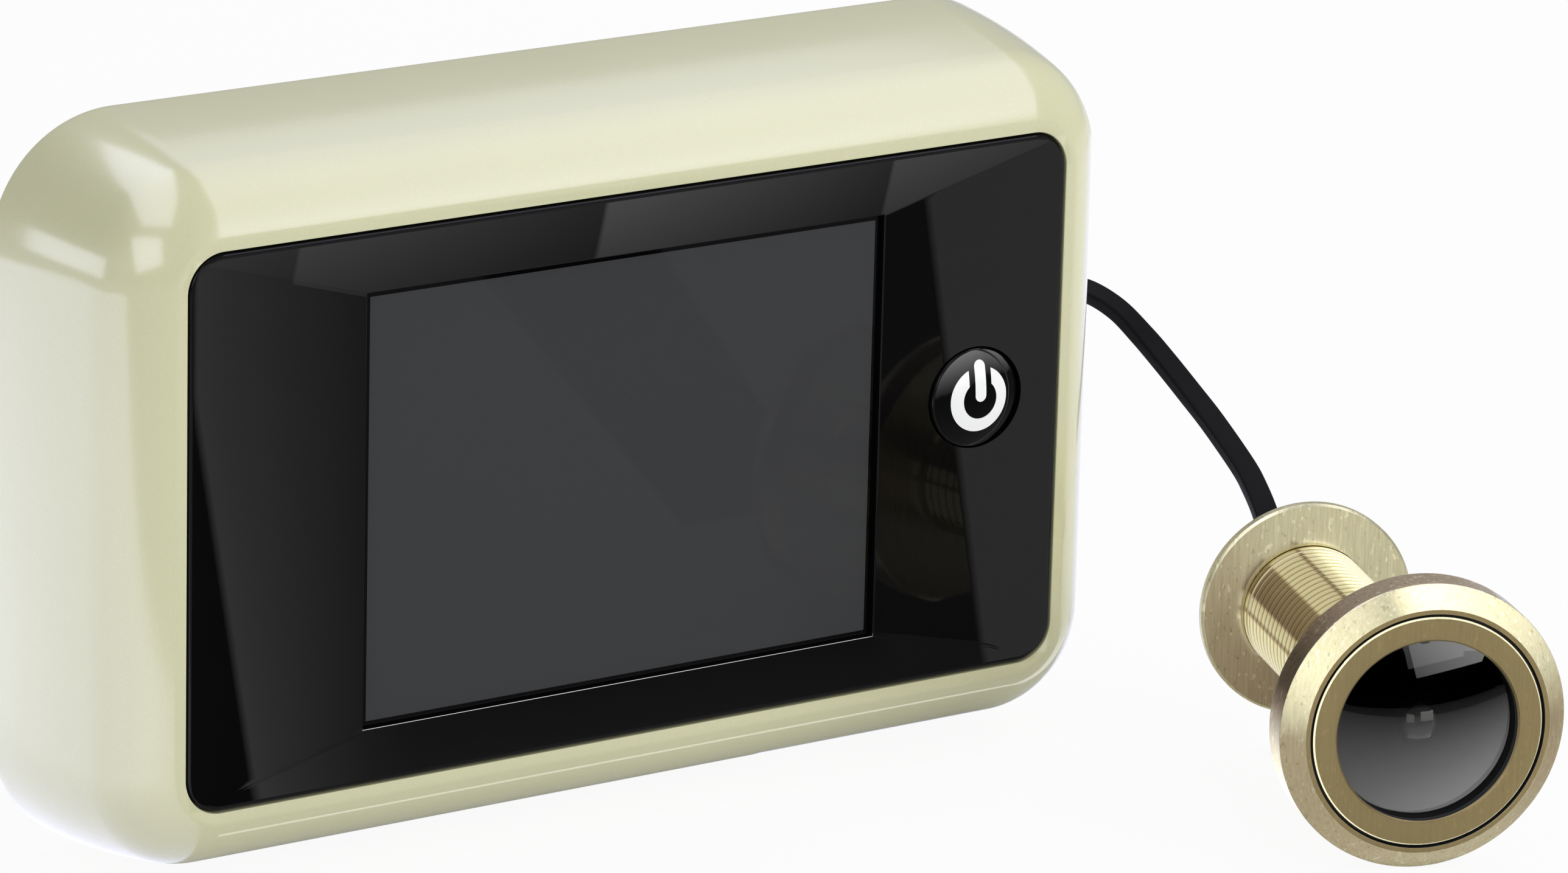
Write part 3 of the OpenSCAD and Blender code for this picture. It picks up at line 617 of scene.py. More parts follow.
def housing():
    """The moulded shell: a band, a crease, a shoulder and a long flank, swept round the unit."""
    turn_in, turn_out, bend = SHOULDER
    turn_end = 3
    crease = (FIT_R + BAND_W, CREASE_R)
    crease_end = arc(crease, CREASE_R, turn_in, turn_in, 1)[0]
    shoulder = next_centre(crease_end, bend, turn_in)
    shoulder_end = arc(shoulder, bend, turn_out, turn_out, 1)[0]
    rise = math.sin(math.radians(turn_out)) - math.sin(math.radians(turn_end))
    flank_r = (BODY_D - shoulder_end[1]) / rise
    flank = next_centre(shoulder_end, flank_r, turn_out)
    inner_r = flank_r - WALL

    def inner_angle(depth):
        return math.degrees(math.asin((flank[1] - depth) / inner_r))

    slot_depth = FRONT_H - SLOT_TOP_H
    slot_angle = math.degrees(math.asin((flank[1] - slot_depth) / flank_r))
    lip = 0.18
    back_outer = arc(flank, flank_r, turn_end, turn_end, 1)[0]
    back_inner = arc(flank, inner_r, inner_angle(BODY_D), inner_angle(BODY_D), 1)[0]
    front = [(FIT_R, FASCIA_T), (FIT_R, lip), (FIT_R + 0.06, 0.06), (FIT_R + lip, 0.0)]
    front += arc(crease, CREASE_R, 90, 90, 1)[:1]
    outer = arc(crease, CREASE_R, 90, turn_in, 8)[1:]
    outer += arc(shoulder, bend, turn_in, turn_out, 24)[1:]
    outer += arc(flank, flank_r, turn_out, slot_angle, 14)[1:]
    slot_out = len(front) + len(outer) - 1
    tail = arc(flank, flank_r, slot_angle, turn_end, 4)[1:-1]
    rim = [
        (back_outer[0], back_outer[1] - 0.25), (back_outer[0] - 0.07, back_outer[1] - 0.07),
        (back_outer[0] - 0.25, back_outer[1]), (back_inner[0] + 0.2, back_inner[1]), back_inner,
    ]
    inside = arc(flank, inner_r, inner_angle(BODY_D), inner_angle(slot_depth), 4)[1:]
    slot_in = slot_out + len(tail) + len(rim) + len(inside)
    rest = arc(flank, inner_r, inner_angle(slot_depth), inner_angle(LEDGE_BACK), 6)[1:]
    rest += [(LEDGE_R, LEDGE_BACK), (LEDGE_R, FASCIA_T)]
    profile = front + outer + tail + rim + inside + rest
    stations = corner_stations((), 28, SLOT_Z)
    low = next(i for i, s in enumerate(stations) if abs(s[1] - SLOT_Z[0]) < 1e-6 and s[2] == 1)
    top = next(i for i, s in enumerate(stations) if abs(s[1] - SLOT_Z[1]) < 1e-6 and s[2] == 1)
    count = len(profile)
    points = [
        panel(x + r * ux, z + r * uz, FRONT_H - depth)
        for x, z, ux, uz in stations
        for r, depth in profile
    ]

    def outside_slot(i, j):
        return not (low <= i < top and slot_out <= j < slot_in)

    faces = wall(len(stations), count, True, outside_slot)
    faces.append(tuple(low * count + j for j in range(slot_out, slot_in + 1)))
    faces.append(tuple(top * count + j for j in range(slot_in, slot_out - 1, -1)))
    for i in range(low, top):
        here, ahead = i * count, (i + 1) * count
        faces.append((here + slot_out, ahead + slot_out, ahead + slot_in, here + slot_in))
    return mesh_of("housing_shell", points, faces, 30)


def fascia_top(x, z):
    """Height of the fascia's front: a level rim and four slopes down to the display."""
    fall = min((RIM_W - abs(x)) / SIDE_RUN, (RIM_H - z) / TOP_RUN, (RIM_H + z) / LOW_RUN)
    return FRONT_H - DISH * max(0.0, min(1.0, fall))


def mitre_angle(run):
    """Where a mitre meets the rim's round corner."""
    low, high = 0.0, math.pi / 2
    for _ in range(50):
        a = (low + high) / 2
        if (1 - math.cos(a)) / SIDE_RUN < (1 - math.sin(a)) / run:
            low = a
        else:
            high = a
    return math.degrees(low)


def fascia():
    """The black front: rounded edge, four mitred slopes, display opening and button hole."""
    upper = mitre_angle(TOP_RUN)
    lower = mitre_angle(LOW_RUN)
    marks = (upper, 180 - upper, 180 + lower, 360 - lower)
    stations = corner_stations(marks, 16)
    bm = bmesh.new()

    def loop(points):
        return [bm.verts.new(p * MM) for p in points]

    def skin(first, second):
        count = len(first)
        for i in range(count):
            bm.faces.new((first[i], first[(i + 1) % count], second[(i + 1) % count], second[i]))

    def fill(loops):
        edges = []
        for ring in loops:
            for a, b in zip(ring, ring[1:] + ring[:1]):
                edges.append(bm.edges.get((a, b)) or bm.edges.new((a, b)))
        bmesh.ops.triangle_fill(bm, use_beauty=True, use_dissolve=False, edges=edges)

    def around(radius, height):
        return [panel(x + radius * ux, z + radius * uz, height(x, z, ux, uz)) for x, z, ux, uz in stations]

    rim_r = FASCIA_R - 0.5
    edge = 0.32

    def rim_top(x, z, ux, uz):
        return fascia_top(x + rim_r * ux, z + rim_r * uz)

    low_loop = loop(around(FASCIA_R, lambda *s: LEDGE_H))
    last = low_loop
    for k in range(7):
        t = math.radians(15 * k)
        inset = edge * (1 - math.cos(t))
        drop = edge * (1 - math.sin(t))
        ring = loop(around(FASCIA_R - inset, lambda *s, d=drop: rim_top(*s) - d))
        skin(last, ring)
        last = ring
    rim = loop(around(rim_r, rim_top))
    skin(last, rim)

    def rectangle(grow, height):
        w, t, b = OPENING_W + grow, OPENING_TOP + grow, OPENING_LOW + grow
        return [panel(x, z, height) for x, z in ((w, t), (-w, t), (-w, -b), (w, -b))]

    ease = 0.14
    display = loop(rectangle(ease, FRONT_H - DISH + 0.012))
    last = display
    for k in range(1, 4):
        t = math.radians(30 * k)
        ring = loop(rectangle(ease * (1 - math.sin(t)), FRONT_H - DISH - ease * (1 - math.cos(t))))
        skin(last, ring)
        last = ring
    for grow, height in ((0, WINDOW_H), (WINDOW_LIP, WINDOW_H), (WINDOW_LIP, LEDGE_H)):
        ring = loop(rectangle(grow, height))
        skin(last, ring)
        last = ring

    def hole(height):
        spots = []
        for k in range(72):
            a = 2 * math.pi * k / 72
            x, z = BUTTON_X + BUTTON_HOLE_R * math.cos(a), BUTTON_Z + BUTTON_HOLE_R * math.sin(a)
            spots.append(panel(x, z, height or fascia_top(x, z)))
        return loop(spots)

    hole_top = hole(None)
    hole_low = hole(LEDGE_H)
    skin(hole_top, hole_low)
    fill([low_loop, last, hole_low])

    def station_at(angle):
        way = (math.cos(math.radians(angle)), math.sin(math.radians(angle)))
        return min(range(len(stations)), key=lambda i: math.dist(stations[i][2:], way))

    at = [station_at(a) for a in marks]
    for i, (first, second) in enumerate(((0, 1), (1, 2), (2, 3), (3, 0))):
        begin, end = at[first], at[second]
        count = (end - begin) % len(stations)
        run = [rim[(begin + k) % len(stations)] for k in range(count + 1)]
        slope = run + [display[second], display[first]]
        if i == 3:
            fill([slope, hole_top])
        else:
            bm.faces.new(slope)
    bmesh.ops.recalc_face_normals(bm, faces=bm.faces)
    crisp = set(display) | set(rim)
    limit = math.radians(35)
    for face in bm.faces:
        face.smooth = True
    for e in bm.edges:
        a, b = e.verts
        angle = e.calc_face_angle(math.pi)
        e.smooth = angle < limit and not (a in crisp and b in crisp and angle > math.radians(1))
    mesh = bpy.data.meshes.new("fascia_front")
    bm.to_mesh(mesh)
    bm.free()
    return weighted(mesh)


def button():
    """The domed cap with its retaining lip and stem, along the button's axis."""
    dome = []
    edge_r = BUTTON_R - 0.22
    for k in range(15):
        r = edge_r * k / 14
        dome.append((r, BUTTON_APEX_H - DOME_R + math.sqrt(DOME_R ** 2 - r ** 2)))
    edge_h = dome[-1][1]
    dome += [(BUTTON_R - 0.1, edge_h - 0.06), (BUTTON_R - 0.02, edge_h - 0.18), (BUTTON_R, edge_h - 0.34)]
    lip_top, lip_low = BUTTON_LIP_H
    dome += [(BUTTON_R, lip_top), (BUTTON_LIP_R, lip_top), (BUTTON_LIP_R, lip_low)]
    dome += [(BUTTON_STEM_R, lip_low), (BUTTON_STEM_R, BUTTON_STEM_H), (0, BUTTON_STEM_H)]
    return turned("button_dome", dome, button_axis, 40, 128)


def dome_point(x, z, lift):
    h = BUTTON_APEX_H - DOME_R + math.sqrt(DOME_R ** 2 - x * x - z * z) + lift
    return panel(BUTTON_X + x, BUTTON_Z + z, h)


def standby_sign():
    """An open ring and a bar, printed on the dome: each is a thin sheet that follows it."""
    ring_in, ring_out, gap = 2.04, 3.46, 1.37
    steps = 96
    ring = []
    for i in range(6):
        r = ring_in + (ring_out - ring_in) * i / 5
        start = math.asin(gap / r)
        turn = [start + (2 * math.pi - 2 * start) * k / steps for k in range(steps + 1)]
        ring.append([(r * math.sin(a), r * math.cos(a)) for a in turn])
    bar_w, bar_low, bar_top = 0.66, -0.2, 4.15
    turn = [math.pi / 16 * k for k in range(9)]
    ends = [(bar_w * (1 - math.cos(a)), bar_w * math.sin(a)) for a in turn]
    heights = [(bar_low + inset, half) for inset, half in ends]
    heights += [(bar_low + bar_w + (bar_top - bar_low - 2 * bar_w) * k / 6, bar_w) for k in range(1, 6)]
    heights += [(bar_top - inset, half) for inset, half in reversed(ends)]
    bar = [[(max(half, 0.01) * side, z) for z, half in heights] for side in (-1, -0.5, 0, 0.5, 1)]
    points = []
    faces = []
    for grid in (ring, bar):
        rows, cols = len(grid), len(grid[0])
        first = len(points)
        for lift in (0.03, -0.06):
            points += [dome_point(x, z, lift) for row in grid for x, z in row]
        under = rows * cols
        for i in range(rows - 1):
            for j in range(cols - 1):
                a = first + i * cols + j
                faces.append((a, a + 1, a + cols + 1, a + cols))
                faces.append((a + under, a + under + cols, a + under + cols + 1, a + under + 1))
        border = [(0, j) for j in range(cols)] + [(i, cols - 1) for i in range(1, rows)]
        border += [(rows - 1, j) for j in range(cols - 2, -1, -1)]
        border += [(i, 0) for i in range(rows - 2, 0, -1)]
        for (i, j), (k, m) in zip(border, border[1:] + border[:1]):
            a, b = first + i * cols + j, first + k * cols + m
            faces.append((a, a + under, b + under, b))
    return mesh_of("standby_sign", points, faces, 40)


def smooth_line(points, steps):
    """A smooth line through the points."""
    done = []
    for i in range(len(points) - 1):
        a = points[max(i - 1, 0)]
        b, c = points[i], points[i + 1]
        d = points[min(i + 2, len(points) - 1)]
        bend = 2 * a - 5 * b + 4 * c - d
        twist = 3 * b - a - 3 * c + d
        for k in range(steps):
            t = k / steps
            done.append(0.5 * (2 * b + (c - a) * t + bend * t * t + twist * t ** 3))
    return done + [points[-1]]


def cable():
    """The flat cable: a rounded section swept along its route, broad face forwards and up."""
    line = smooth_line([Vector((SOCKET_X + x, y, z)) for x, y, z in CABLE_PATH], 8)
    w, t = CABLE_W / 2, CABLE_T / 2
    section = eased([(w, t, CABLE_EDGE), (-w, t, CABLE_EDGE), (-w, -t, CABLE_EDGE), (w, -t, CABLE_EDGE)], 4)
    count = len(section)
    points = []
    for i, p in enumerate(line):
        along = (line[min(i + 1, len(line) - 1)] - line[max(i - 1, 0)]).normalized()
        across = along.cross(BROAD_FACE).normalized()
        up = across.cross(along)
        points += [p + across * s + up * u for s, u in section]
    faces = wall(len(line), count, False)
    faces.append(tuple(range(count)))
    faces.append(tuple((len(line) - 1) * count + j for j in range(count)))
    return mesh_of("camera_cable_flat", points, faces, 50), line


class Tree:
    """A Geometry Nodes tree with named sizes, run once on an empty mesh to give a plain mesh."""

    def __init__(self, name, sizes):
        self.group = bpy.data.node_groups.new(name, "GeometryNodeTree")
        self.sizes = sizes
        self.sockets = {}
        face = self.group.interface
        face.new_socket("Geometry", in_out="INPUT", socket_type="NodeSocketGeometry")
        for size in sizes:
            self.sockets[size] = face.new_socket(size, in_out="INPUT", socket_type="NodeSocketFloat")
        face.new_socket("Geometry", in_out="OUTPUT", socket_type="NodeSocketGeometry")
        self.entry = self.group.nodes.new("NodeGroupInput")

    def node(self, kind, settings=None, inputs=None):
        made = self.group.nodes.new(kind)
        for key, value in (settings or {}).items():
            setattr(made, key, value)
        for key, value in (inputs or {}).items():
            if isinstance(value, bpy.types.NodeSocket):
                self.group.links.new(value, made.inputs[key])
            else:
                made.inputs[key].default_value = value
        return made

    def size(self, name):
        return self.entry.outputs[name]

    def mesh(self, geometry, finish, start=None):
        """Ends the tree, runs it and returns the plain mesh."""
        real = self.node("GeometryNodeRealizeInstances", None, {"Geometry": geometry})
        inputs = {"Geometry": real.outputs[0], "Material": FINISHES[finish]}
        coat = self.node("GeometryNodeSetMaterial", None, inputs)
        self.group.links.new(coat.outputs[0], self.node("NodeGroupOutput").inputs[0])

        def settings(run):
            run.node_group = self.group
            for size, value in self.sizes.items():
                run[self.sockets[size].identifier] = value

        name = self.group.name
        return run_once(name, start or bpy.data.meshes.new(name), "NODES", settings)


def thread():
    """The barrel's round-crested thread: a flattened bead wound along the barrel."""
    length = BARREL_FRONT - BARREL_END - 2 * THREAD_INSET
    tree = Tree("barrel_thread", {
        "Radius": BARREL_R - THREAD_DEPTH, "Length": length, "Turns": length / THREAD_PITCH,
        "Half width": THREAD_HALF, "Depth": THREAD_DEPTH,
    })
    helix = tree.node("GeometryNodeCurveSpiral", None, {
        "Resolution": 80, "Rotations": tree.size("Turns"), "Start Radius": tree.size("Radius"),
        "End Radius": tree.size("Radius"), "Height": tree.size("Length"),
    })
    upright = tree.node("GeometryNodeSetCurveNormal", {"mode": "Z_UP"}, {"Curve": helix.outputs[0]})
    round_bead = {"Resolution": 24, "Radius": 1.0}
    bead = tree.node("GeometryNodeCurvePrimitiveCircle", {"mode": "RADIUS"}, round_bead)
    flat = tree.node("ShaderNodeCombineXYZ", None, {
        "X": tree.size("Depth"), "Y": tree.size("Half width"), "Z": 1.0,
    })
    oval = tree.node("GeometryNodeTransform", None, {"Geometry": bead.outputs[0], "Scale": flat.outputs[0]})
    wound = tree.node("GeometryNodeCurveToMesh", None, {
        "Curve": upright.outputs[0], "Profile Curve": oval.outputs[0], "Fill Caps": True,
    })
    made = tree.mesh(wound.outputs[0], "thread")
    made.transform(Matrix.Translation((0, 0, BARREL_END + THREAD_INSET)))
    made.transform(camera_axis)
    made.transform(Matrix.Scale(MM, 4))
    made = finished(made, 60)
    # How deep each point lies below the crest, stored for the painted shade in the thread's valleys.
    deep = []
    for v in made.vertices:
        p = camera_back @ (v.co / MM)
        deep.append(min(1.0, max(0.0, BARREL_R - math.hypot(p.x, p.y)) / VALLEY_DEPTH) ** 2)
    made.attributes.new("valley", "FLOAT", "POINT").data.foreach_set("value", deep)
    return made


def screw_heads():
    """Four countersunk screws with cross slots, in the rear cover's corners."""
    head = bpy.data.meshes.new("screw_head")
    bm = bmesh.new()
    half, arm, deep = 0.22, 1.15, 0.5
    head_r, shank_share, shank_z = 1.95, 0.52, -0.95
    quarter = [(half, half), (half, arm), (-half, arm)]
    cross = []
    rim = []
    for k in range(12):
        a = math.radians(30 * k + 45)
        rim.append((head_r * math.cos(a), head_r * math.sin(a)))
    for _ in range(4):
        cross += quarter
        quarter = [(-y, x) for x, y in quarter]
    level = [bm.verts.new((x, y, 0.0)) for x, y in cross]
    sunk = [bm.verts.new((x * 0.8, y * 0.8, -deep)) for x, y in cross]
    around = [bm.verts.new((x, y, -0.02)) for x, y in rim]
    shank = [bm.verts.new((x * shank_share, y * shank_share, shank_z)) for x, y in rim]
    for i in range(12):
        j = (i + 1) % 12
        bm.faces.new((level[i], level[j], sunk[j], sunk[i]))
        bm.faces.new((around[i], around[j], level[j], level[i]))
        bm.faces.new((shank[i], shank[j], around[j], around[i]))
    bm.faces.new(sunk)
    bm.faces.new(list(reversed(shank)))
    bmesh.ops.recalc_face_normals(bm, faces=bm.faces)
    bm.to_mesh(head)
    bm.free()
    pattern = linked("screw_pattern", head)
    spots = bpy.data.meshes.new("screw_spots")
    spots.from_pydata([(x, z, 0) for x in (-CORNER_X, CORNER_X) for z in (-CORNER_Z, CORNER_Z)], [], [])
    tree = Tree("rear_screws", {"Scale": 1.0, "Turn": 0.6})
    source = tree.node("GeometryNodeObjectInfo", None, {"Object": pattern})
    index = tree.node("GeometryNodeInputIndex")
    factors = {0: index.outputs[0], 1: tree.size("Turn")}
    turn = tree.node("ShaderNodeMath", {"operation": "MULTIPLY"}, factors)
    spin = tree.node("ShaderNodeCombineXYZ", None, {"Z": turn.outputs[0]})
    placed = tree.node("GeometryNodeInstanceOnPoints", None, {
        "Points": tree.entry.outputs["Geometry"], "Instance": source.outputs["Geometry"],
        "Rotation": spin.outputs[0], "Scale": tree.size("Scale"),
    })
    made = tree.mesh(placed.outputs[0], "screw", spots)
    bpy.data.objects.remove(pattern)
    made.transform(Matrix.Rotation(math.radians(-90), 4, "X"))
    made.transform(Matrix.Translation((-BORE_X, SCREW_Y, 0)))
    made.transform(Matrix.Scale(MM, 4))
    return finished(made, 25)


def softened(node, width, sharp=30):
    """A copy of a solid's mesh with its crisp edges eased."""
    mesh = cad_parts[node].data.copy()
    mesh.name = node + "_eased"
    bm = bmesh.new()
    bm.from_mesh(mesh)
    bmesh.ops.remove_doubles(bm, verts=bm.verts, dist=2e-6)
    bmesh.ops.dissolve_limit(bm, angle_limit=math.radians(0.5), verts=bm.verts, edges=bm.edges)
    edges = [e for e in bm.edges if len(e.link_faces) == 2 and e.calc_face_angle(0) > math.radians(40)]
    bmesh.ops.bevel(
        bm, geom=edges, offset=width * MM, offset_type="OFFSET", segments=2, profile=0.5, affect="EDGES",
        clamp_overlap=True,
    )
    bm.to_mesh(mesh)
    bm.free()
    return finished(mesh, sharp)


# Camera at the photograph's viewing angle
lens = bpy.data.cameras.new("photo_camera")
lens.sensor_width = 36.0
lens.lens = 188.707
lens.clip_start = 0.01
lens.clip_end = 20.0
camera = linked("photo_camera", lens)
camera.location = (-0.450984, -0.684790, 0.241646)
camera.rotation_euler = (math.radians(73.189217), math.radians(-1.446116), math.radians(-33.576475))
bpy.context.scene.camera = camera

# The cable comes first
cable_mesh, cable_line = cable()
cord = piece("camera_cable_flat", cable_mesh, "display_unit", "cable", ("camera_cable",))
[p * MM for p in cable_line]

# Display unit
piece("housing_shell", housing(), "display_unit", "cream", ("front_housing",))
piece("fascia_front", fascia(), "display_unit", "black", ("fascia",))
piece("button_dome", button(), "button", "button", ("button_cap",))
piece("standby_sign", standby_sign(), "button", "sign")
piece("rear_screws", screw_heads(), "display_unit", "screw")


# Camera unit
def camera_piece(name, profile, finish, node, sharp=35, turns=160, body="display_unit"):
    """A piece turned about the camera's axis, which stands for a solid."""
    return piece(name, turned(name, profile, camera_axis, sharp, turns), body, finish, (node,))


def glass_profile():
    """A low crown on top and a slight hollow below."""
    steps = [GLASS_R * k / 24 for k in range(25)]
    top = GLASS_FRONT + GLASS_RISE - GLASS_CROWN
    crown = [(r, top + math.sqrt(GLASS_CROWN ** 2 - r * r)) for r in steps]
    hollow = [(0.9 * r, GLASS_BACK + 0.3 * (1 - (r / GLASS_R) ** 2)) for r in reversed(steps)]
    return crown + [(GLASS_EDGE_R, GLASS_FRONT), (GLASS_EDGE_R, GLASS_BACK)] + hollow


def bead_profile():
    """A half-oval cap on a short cylinder."""
    turn = [math.radians(9 * k) for k in range(11)]
    cap = [(LENS_R * math.sin(a), LENS_FRONT - LENS_RISE + LENS_RISE * math.cos(a)) for a in turn]
    return cap + [(LENS_R, LENS_BACK), (0, LENS_BACK)]


bezel = camera_piece("bezel_ring_turned", eased(BEZEL, 3), "ring", "bezel_ring")
retainer = camera_piece(
    "retaining_ring_turned", eased(RETAINER, 2), "retainer", "retaining_ring", 25)
camera_piece("cover_glass_dome", glass_profile(), "dome", "cover_glass", 30)
camera_piece("lens_holder_turned", eased(HOLDER, 2), "holder", "lens_holder", 30, 96)
camera_piece("camera_lens_bead", bead_profile(), "lens", "camera_lens", 40, 64)
camera_piece("barrel_tube", eased(TUBE, 2), "thread", "camera_barrel", 30)
piece("barrel_thread", thread(), "display_unit", "thread", ())
camera_piece("clamp_flange_turned", eased(FLANGE, 3), "flange", "clamp_flange", 30, body="flange")

# Faces with another finish, by their radius and height along the camera's axis. The black finish and the
# darker brass paint shade into the groove and onto the bezel's lip and side; the bright brass paints a
# highlight on the retainer's edge.
ANY = 99
for thing, finish, inner, outer, low, high in (
    # Painted shade: the bezel's bore and inner shoulder take the same black finish as the seal and grommet,
    # so the groove round the retainer shows black.
    (bezel, "rubber", 0, 12.45, -3.7, -0.08),
    # Painted shade: the bezel's outer side wall takes the darker copy of its brass.
    (bezel, "shaded_ring_side", 14.95, ANY, -ANY, ANY),
    # Painted shade: the bezel's flat lip beside the groove takes the darker retainer brass.
    (bezel, "retainer", 12.3, 12.82, -0.08, ANY),
    # Painted shade: the retainer's walls and back take that black finish, which darkens the groove and the
    # ring round the glass.
    (retainer, "rubber", 0, ANY, -ANY, -0.21),
    # Painted highlight: the retainer's outer edge takes the brighter ring brass, so it shows as a light
    # line.
    (retainer, "ring", 11.88, ANY, -0.2, ANY),
):
    thing.data.materials.append(FINISHES[finish])
    for face in thing.data.polygons:
        p = camera_back @ (face.center / MM)
        if inner < math.hypot(p.x, p.y) < outer and low < p.z < high:
            face.material_index = len(thing.data.materials) - 1

# Solids that keep their shape, with their edges eased where they show
for node, body, finish, width, slot in (
    ("rear_cover", "display_unit", "rear", 0.22, "black_plastic"),
    ("battery_cover", "battery_lid", "rear", 0.16, "black_plastic"),
    ("mounting_bracket", "bracket", "bracket", 0.2, "bracket_steel"),
    ("ring_nut", "nut", "flange", 0.1, "brass"),
):
    piece(node + "_eased", softened(node, width), body, finish, (node,))

# Solids that show as they are
for node, finish in (
    ("display_window", "display"), ("display_panel", "stack"), ("backlight", "guide"),
    ("display_tray", "steel"), ("switch_plunger", "rear"), ("tact_switch", "nylon"),
    ("main_board", "board"), ("processor", "chip"), ("cable_socket", "nylon"), ("battery_1", "cell"),
    ("battery_2", "cell"), ("battery_3", "cell"), ("contact_left", "steel"), ("contact_right", "steel"),
    ("seal_ring", "rubber"), ("image_sensor", "chip"), ("sensor_board", "board"),
    ("cable_grommet", "rubber"), ("cable_plug", "rubber"),
):
    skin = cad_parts[node].data.materials
    skin.clear()
    skin.append(FINISHES[finish])


# Floor and backdrop in one sweep
def white_paper():
    """Plain pale paper, lifted towards white where the camera, mirrors or clear glass look at it."""
    f = Finish("white_paper", Base_Color=tone(0.78, 0.78, 0.78), Roughness=0.9)
    share = f.node("ShaderNodeLightPath", out="Is Camera Ray") * 0.93
    for ray, part in (("Is Glossy Ray", 0.1), ("Is Transmission Ray", 0.6)):
        share = share + f.node("ShaderNodeLightPath", out=ray) * part
    white = f.node("ShaderNodeEmission", None, {"Strength": 1.0})
    paper = Value(f, f.shader.outputs[0])
    f.surface(f.node("ShaderNodeMixShader", None, {0: share, 1: paper, 2: white}))
    return f.material


def sweep():
    """A floor that bends up into a backdrop, in metres."""
    front, depth, rise, bend, half = -3.0, 2.6, 2.4, 0.9, 4.0
    profile = [(front, 0.0), (depth - bend, 0.0)]
    for k in range(1, 11):
        a = math.radians(9 * k)
        profile.append((depth - bend + bend * math.sin(a), bend - bend * math.cos(a)))
    profile.append((depth, rise))
    floor_z = solid_box[0].z - 0.0001
    points = [(x, y, z + floor_z) for y, z in profile for x in (-half, half)]
    faces = [(2 * i, 2 * i + 1, 2 * i + 3, 2 * i + 2) for i in range(len(profile) - 1)]
    mesh = bpy.data.meshes.new("studio_sweep")
    mesh.from_pydata(points, [], faces)
    for face in mesh.polygons:
        face.use_smooth = True
    thing = linked("studio_sweep", mesh)
    mesh.materials.append(white_paper())


sweep()


# Boards that light the gloss
def board_glow(name, dim, bright):
    """Shines with the strength stored on a board, only to rays of about the length stored on it."""
    f = Finish(name)
    tint = f.blend(f.attribute("glow") * 1.3, dim, bright)
    off = abs(f.node("ShaderNodeLightPath", out="Ray Length") - f.attribute("reach"))
    light = f.node("ShaderNodeEmission", None, {"Color": tint, "Strength": f.attribute("glow")})
    clear = f.node("ShaderNodeBsdfTransparent")
    f.surface(f.node("ShaderNodeMixShader", None, {0: off < f.attribute("slack"), 1: clear, 2: light}))
    return f.material


BOARD = board_glow("board_glow", tone(1, 1, 1), tone(1, 1, 1))
PANEL = board_glow("panel_glow", tone(1, 1, 1), tone(0.98, 1.0, 1.2))
WARM = board_glow("warm_glow", tone(1, 0.70, 0.56), tone(1, 1, 1))


def board(name, rows, glow, reaches, slacks, through=False, finish=BOARD):
    """A board that only mirrors see: rows of points, a strength at each, a reach and slack a row."""
    count = len(rows[0])
    faces = []
    for i in range(len(rows) - 1):
        for j in range(i * count, i * count + count - 1):
            faces.append((j, j + count, j + count + 1, j + 1))
    mesh = bpy.data.meshes.new(name)
    mesh.from_pydata([p * MM for row in rows for p in row], [], faces)
    for key, values in (
        ("glow", [g for row in glow for g in row]),
        ("reach", [reach * MM for reach in reaches for _ in range(count)]),
        ("slack", [slack * MM for slack in slacks for _ in range(count)]),
    ):
        mesh.attributes.new(key, "FLOAT", "POINT").data.foreach_set("value", values)
    thing = linked(name, mesh)
    for ray in ("camera", "diffuse", "volume_scatter", "shadow"):
        setattr(thing, "visible_" + ray, False)
    thing.visible_transmission = through
    mesh.materials.append(finish)


def grid(across, along, make):
    """Rows of what a function makes at two shares that go from 0 to 1."""
    return [[make(i / across, j / along) for j in range(along + 1)] for i in range(across + 1)]


def panel_light(name, corners, glow, reach=0.0, slack=1e5):
    """A four-cornered board with a strength at each corner."""
    cells = 12

    def mixed(values, start):
        def make(u, v):
            shares = ((1 - u) * (1 - v), u * (1 - v), u * v, (1 - u) * v)
            return sum((value * share for value, share in zip(values, shares)), start)

        return grid(cells, cells, make)

    rows = mixed([Vector(c) for c in corners], Vector())
    board(name, rows, mixed(glow, 0.0), [reach] * len(rows), [slack] * len(rows), finish=PANEL)


def reflector(name, spots, reach, slack=0.08, through=False, finish=BOARD):
    """A board where the photograph's camera sees it mirrored. Each spot: a place, a facing, a strength."""
    eye = camera.location / MM
    rows = []
    reaches = reach if isinstance(reach, list) else [reach] * len(spots)
    for row, far in zip(spots, reaches):
        rows.append([])
        for place, facing, _ in row:
            n = facing.normalized()
            look = (place - eye).normalized()
            rows[-1].append(place + (look - 2 * look.dot(n) * n) * far)
    glow = [[spot[2] for spot in row] for row in spots]
    board(name, rows, glow, reaches, [far * slack for far in reaches], through, finish)


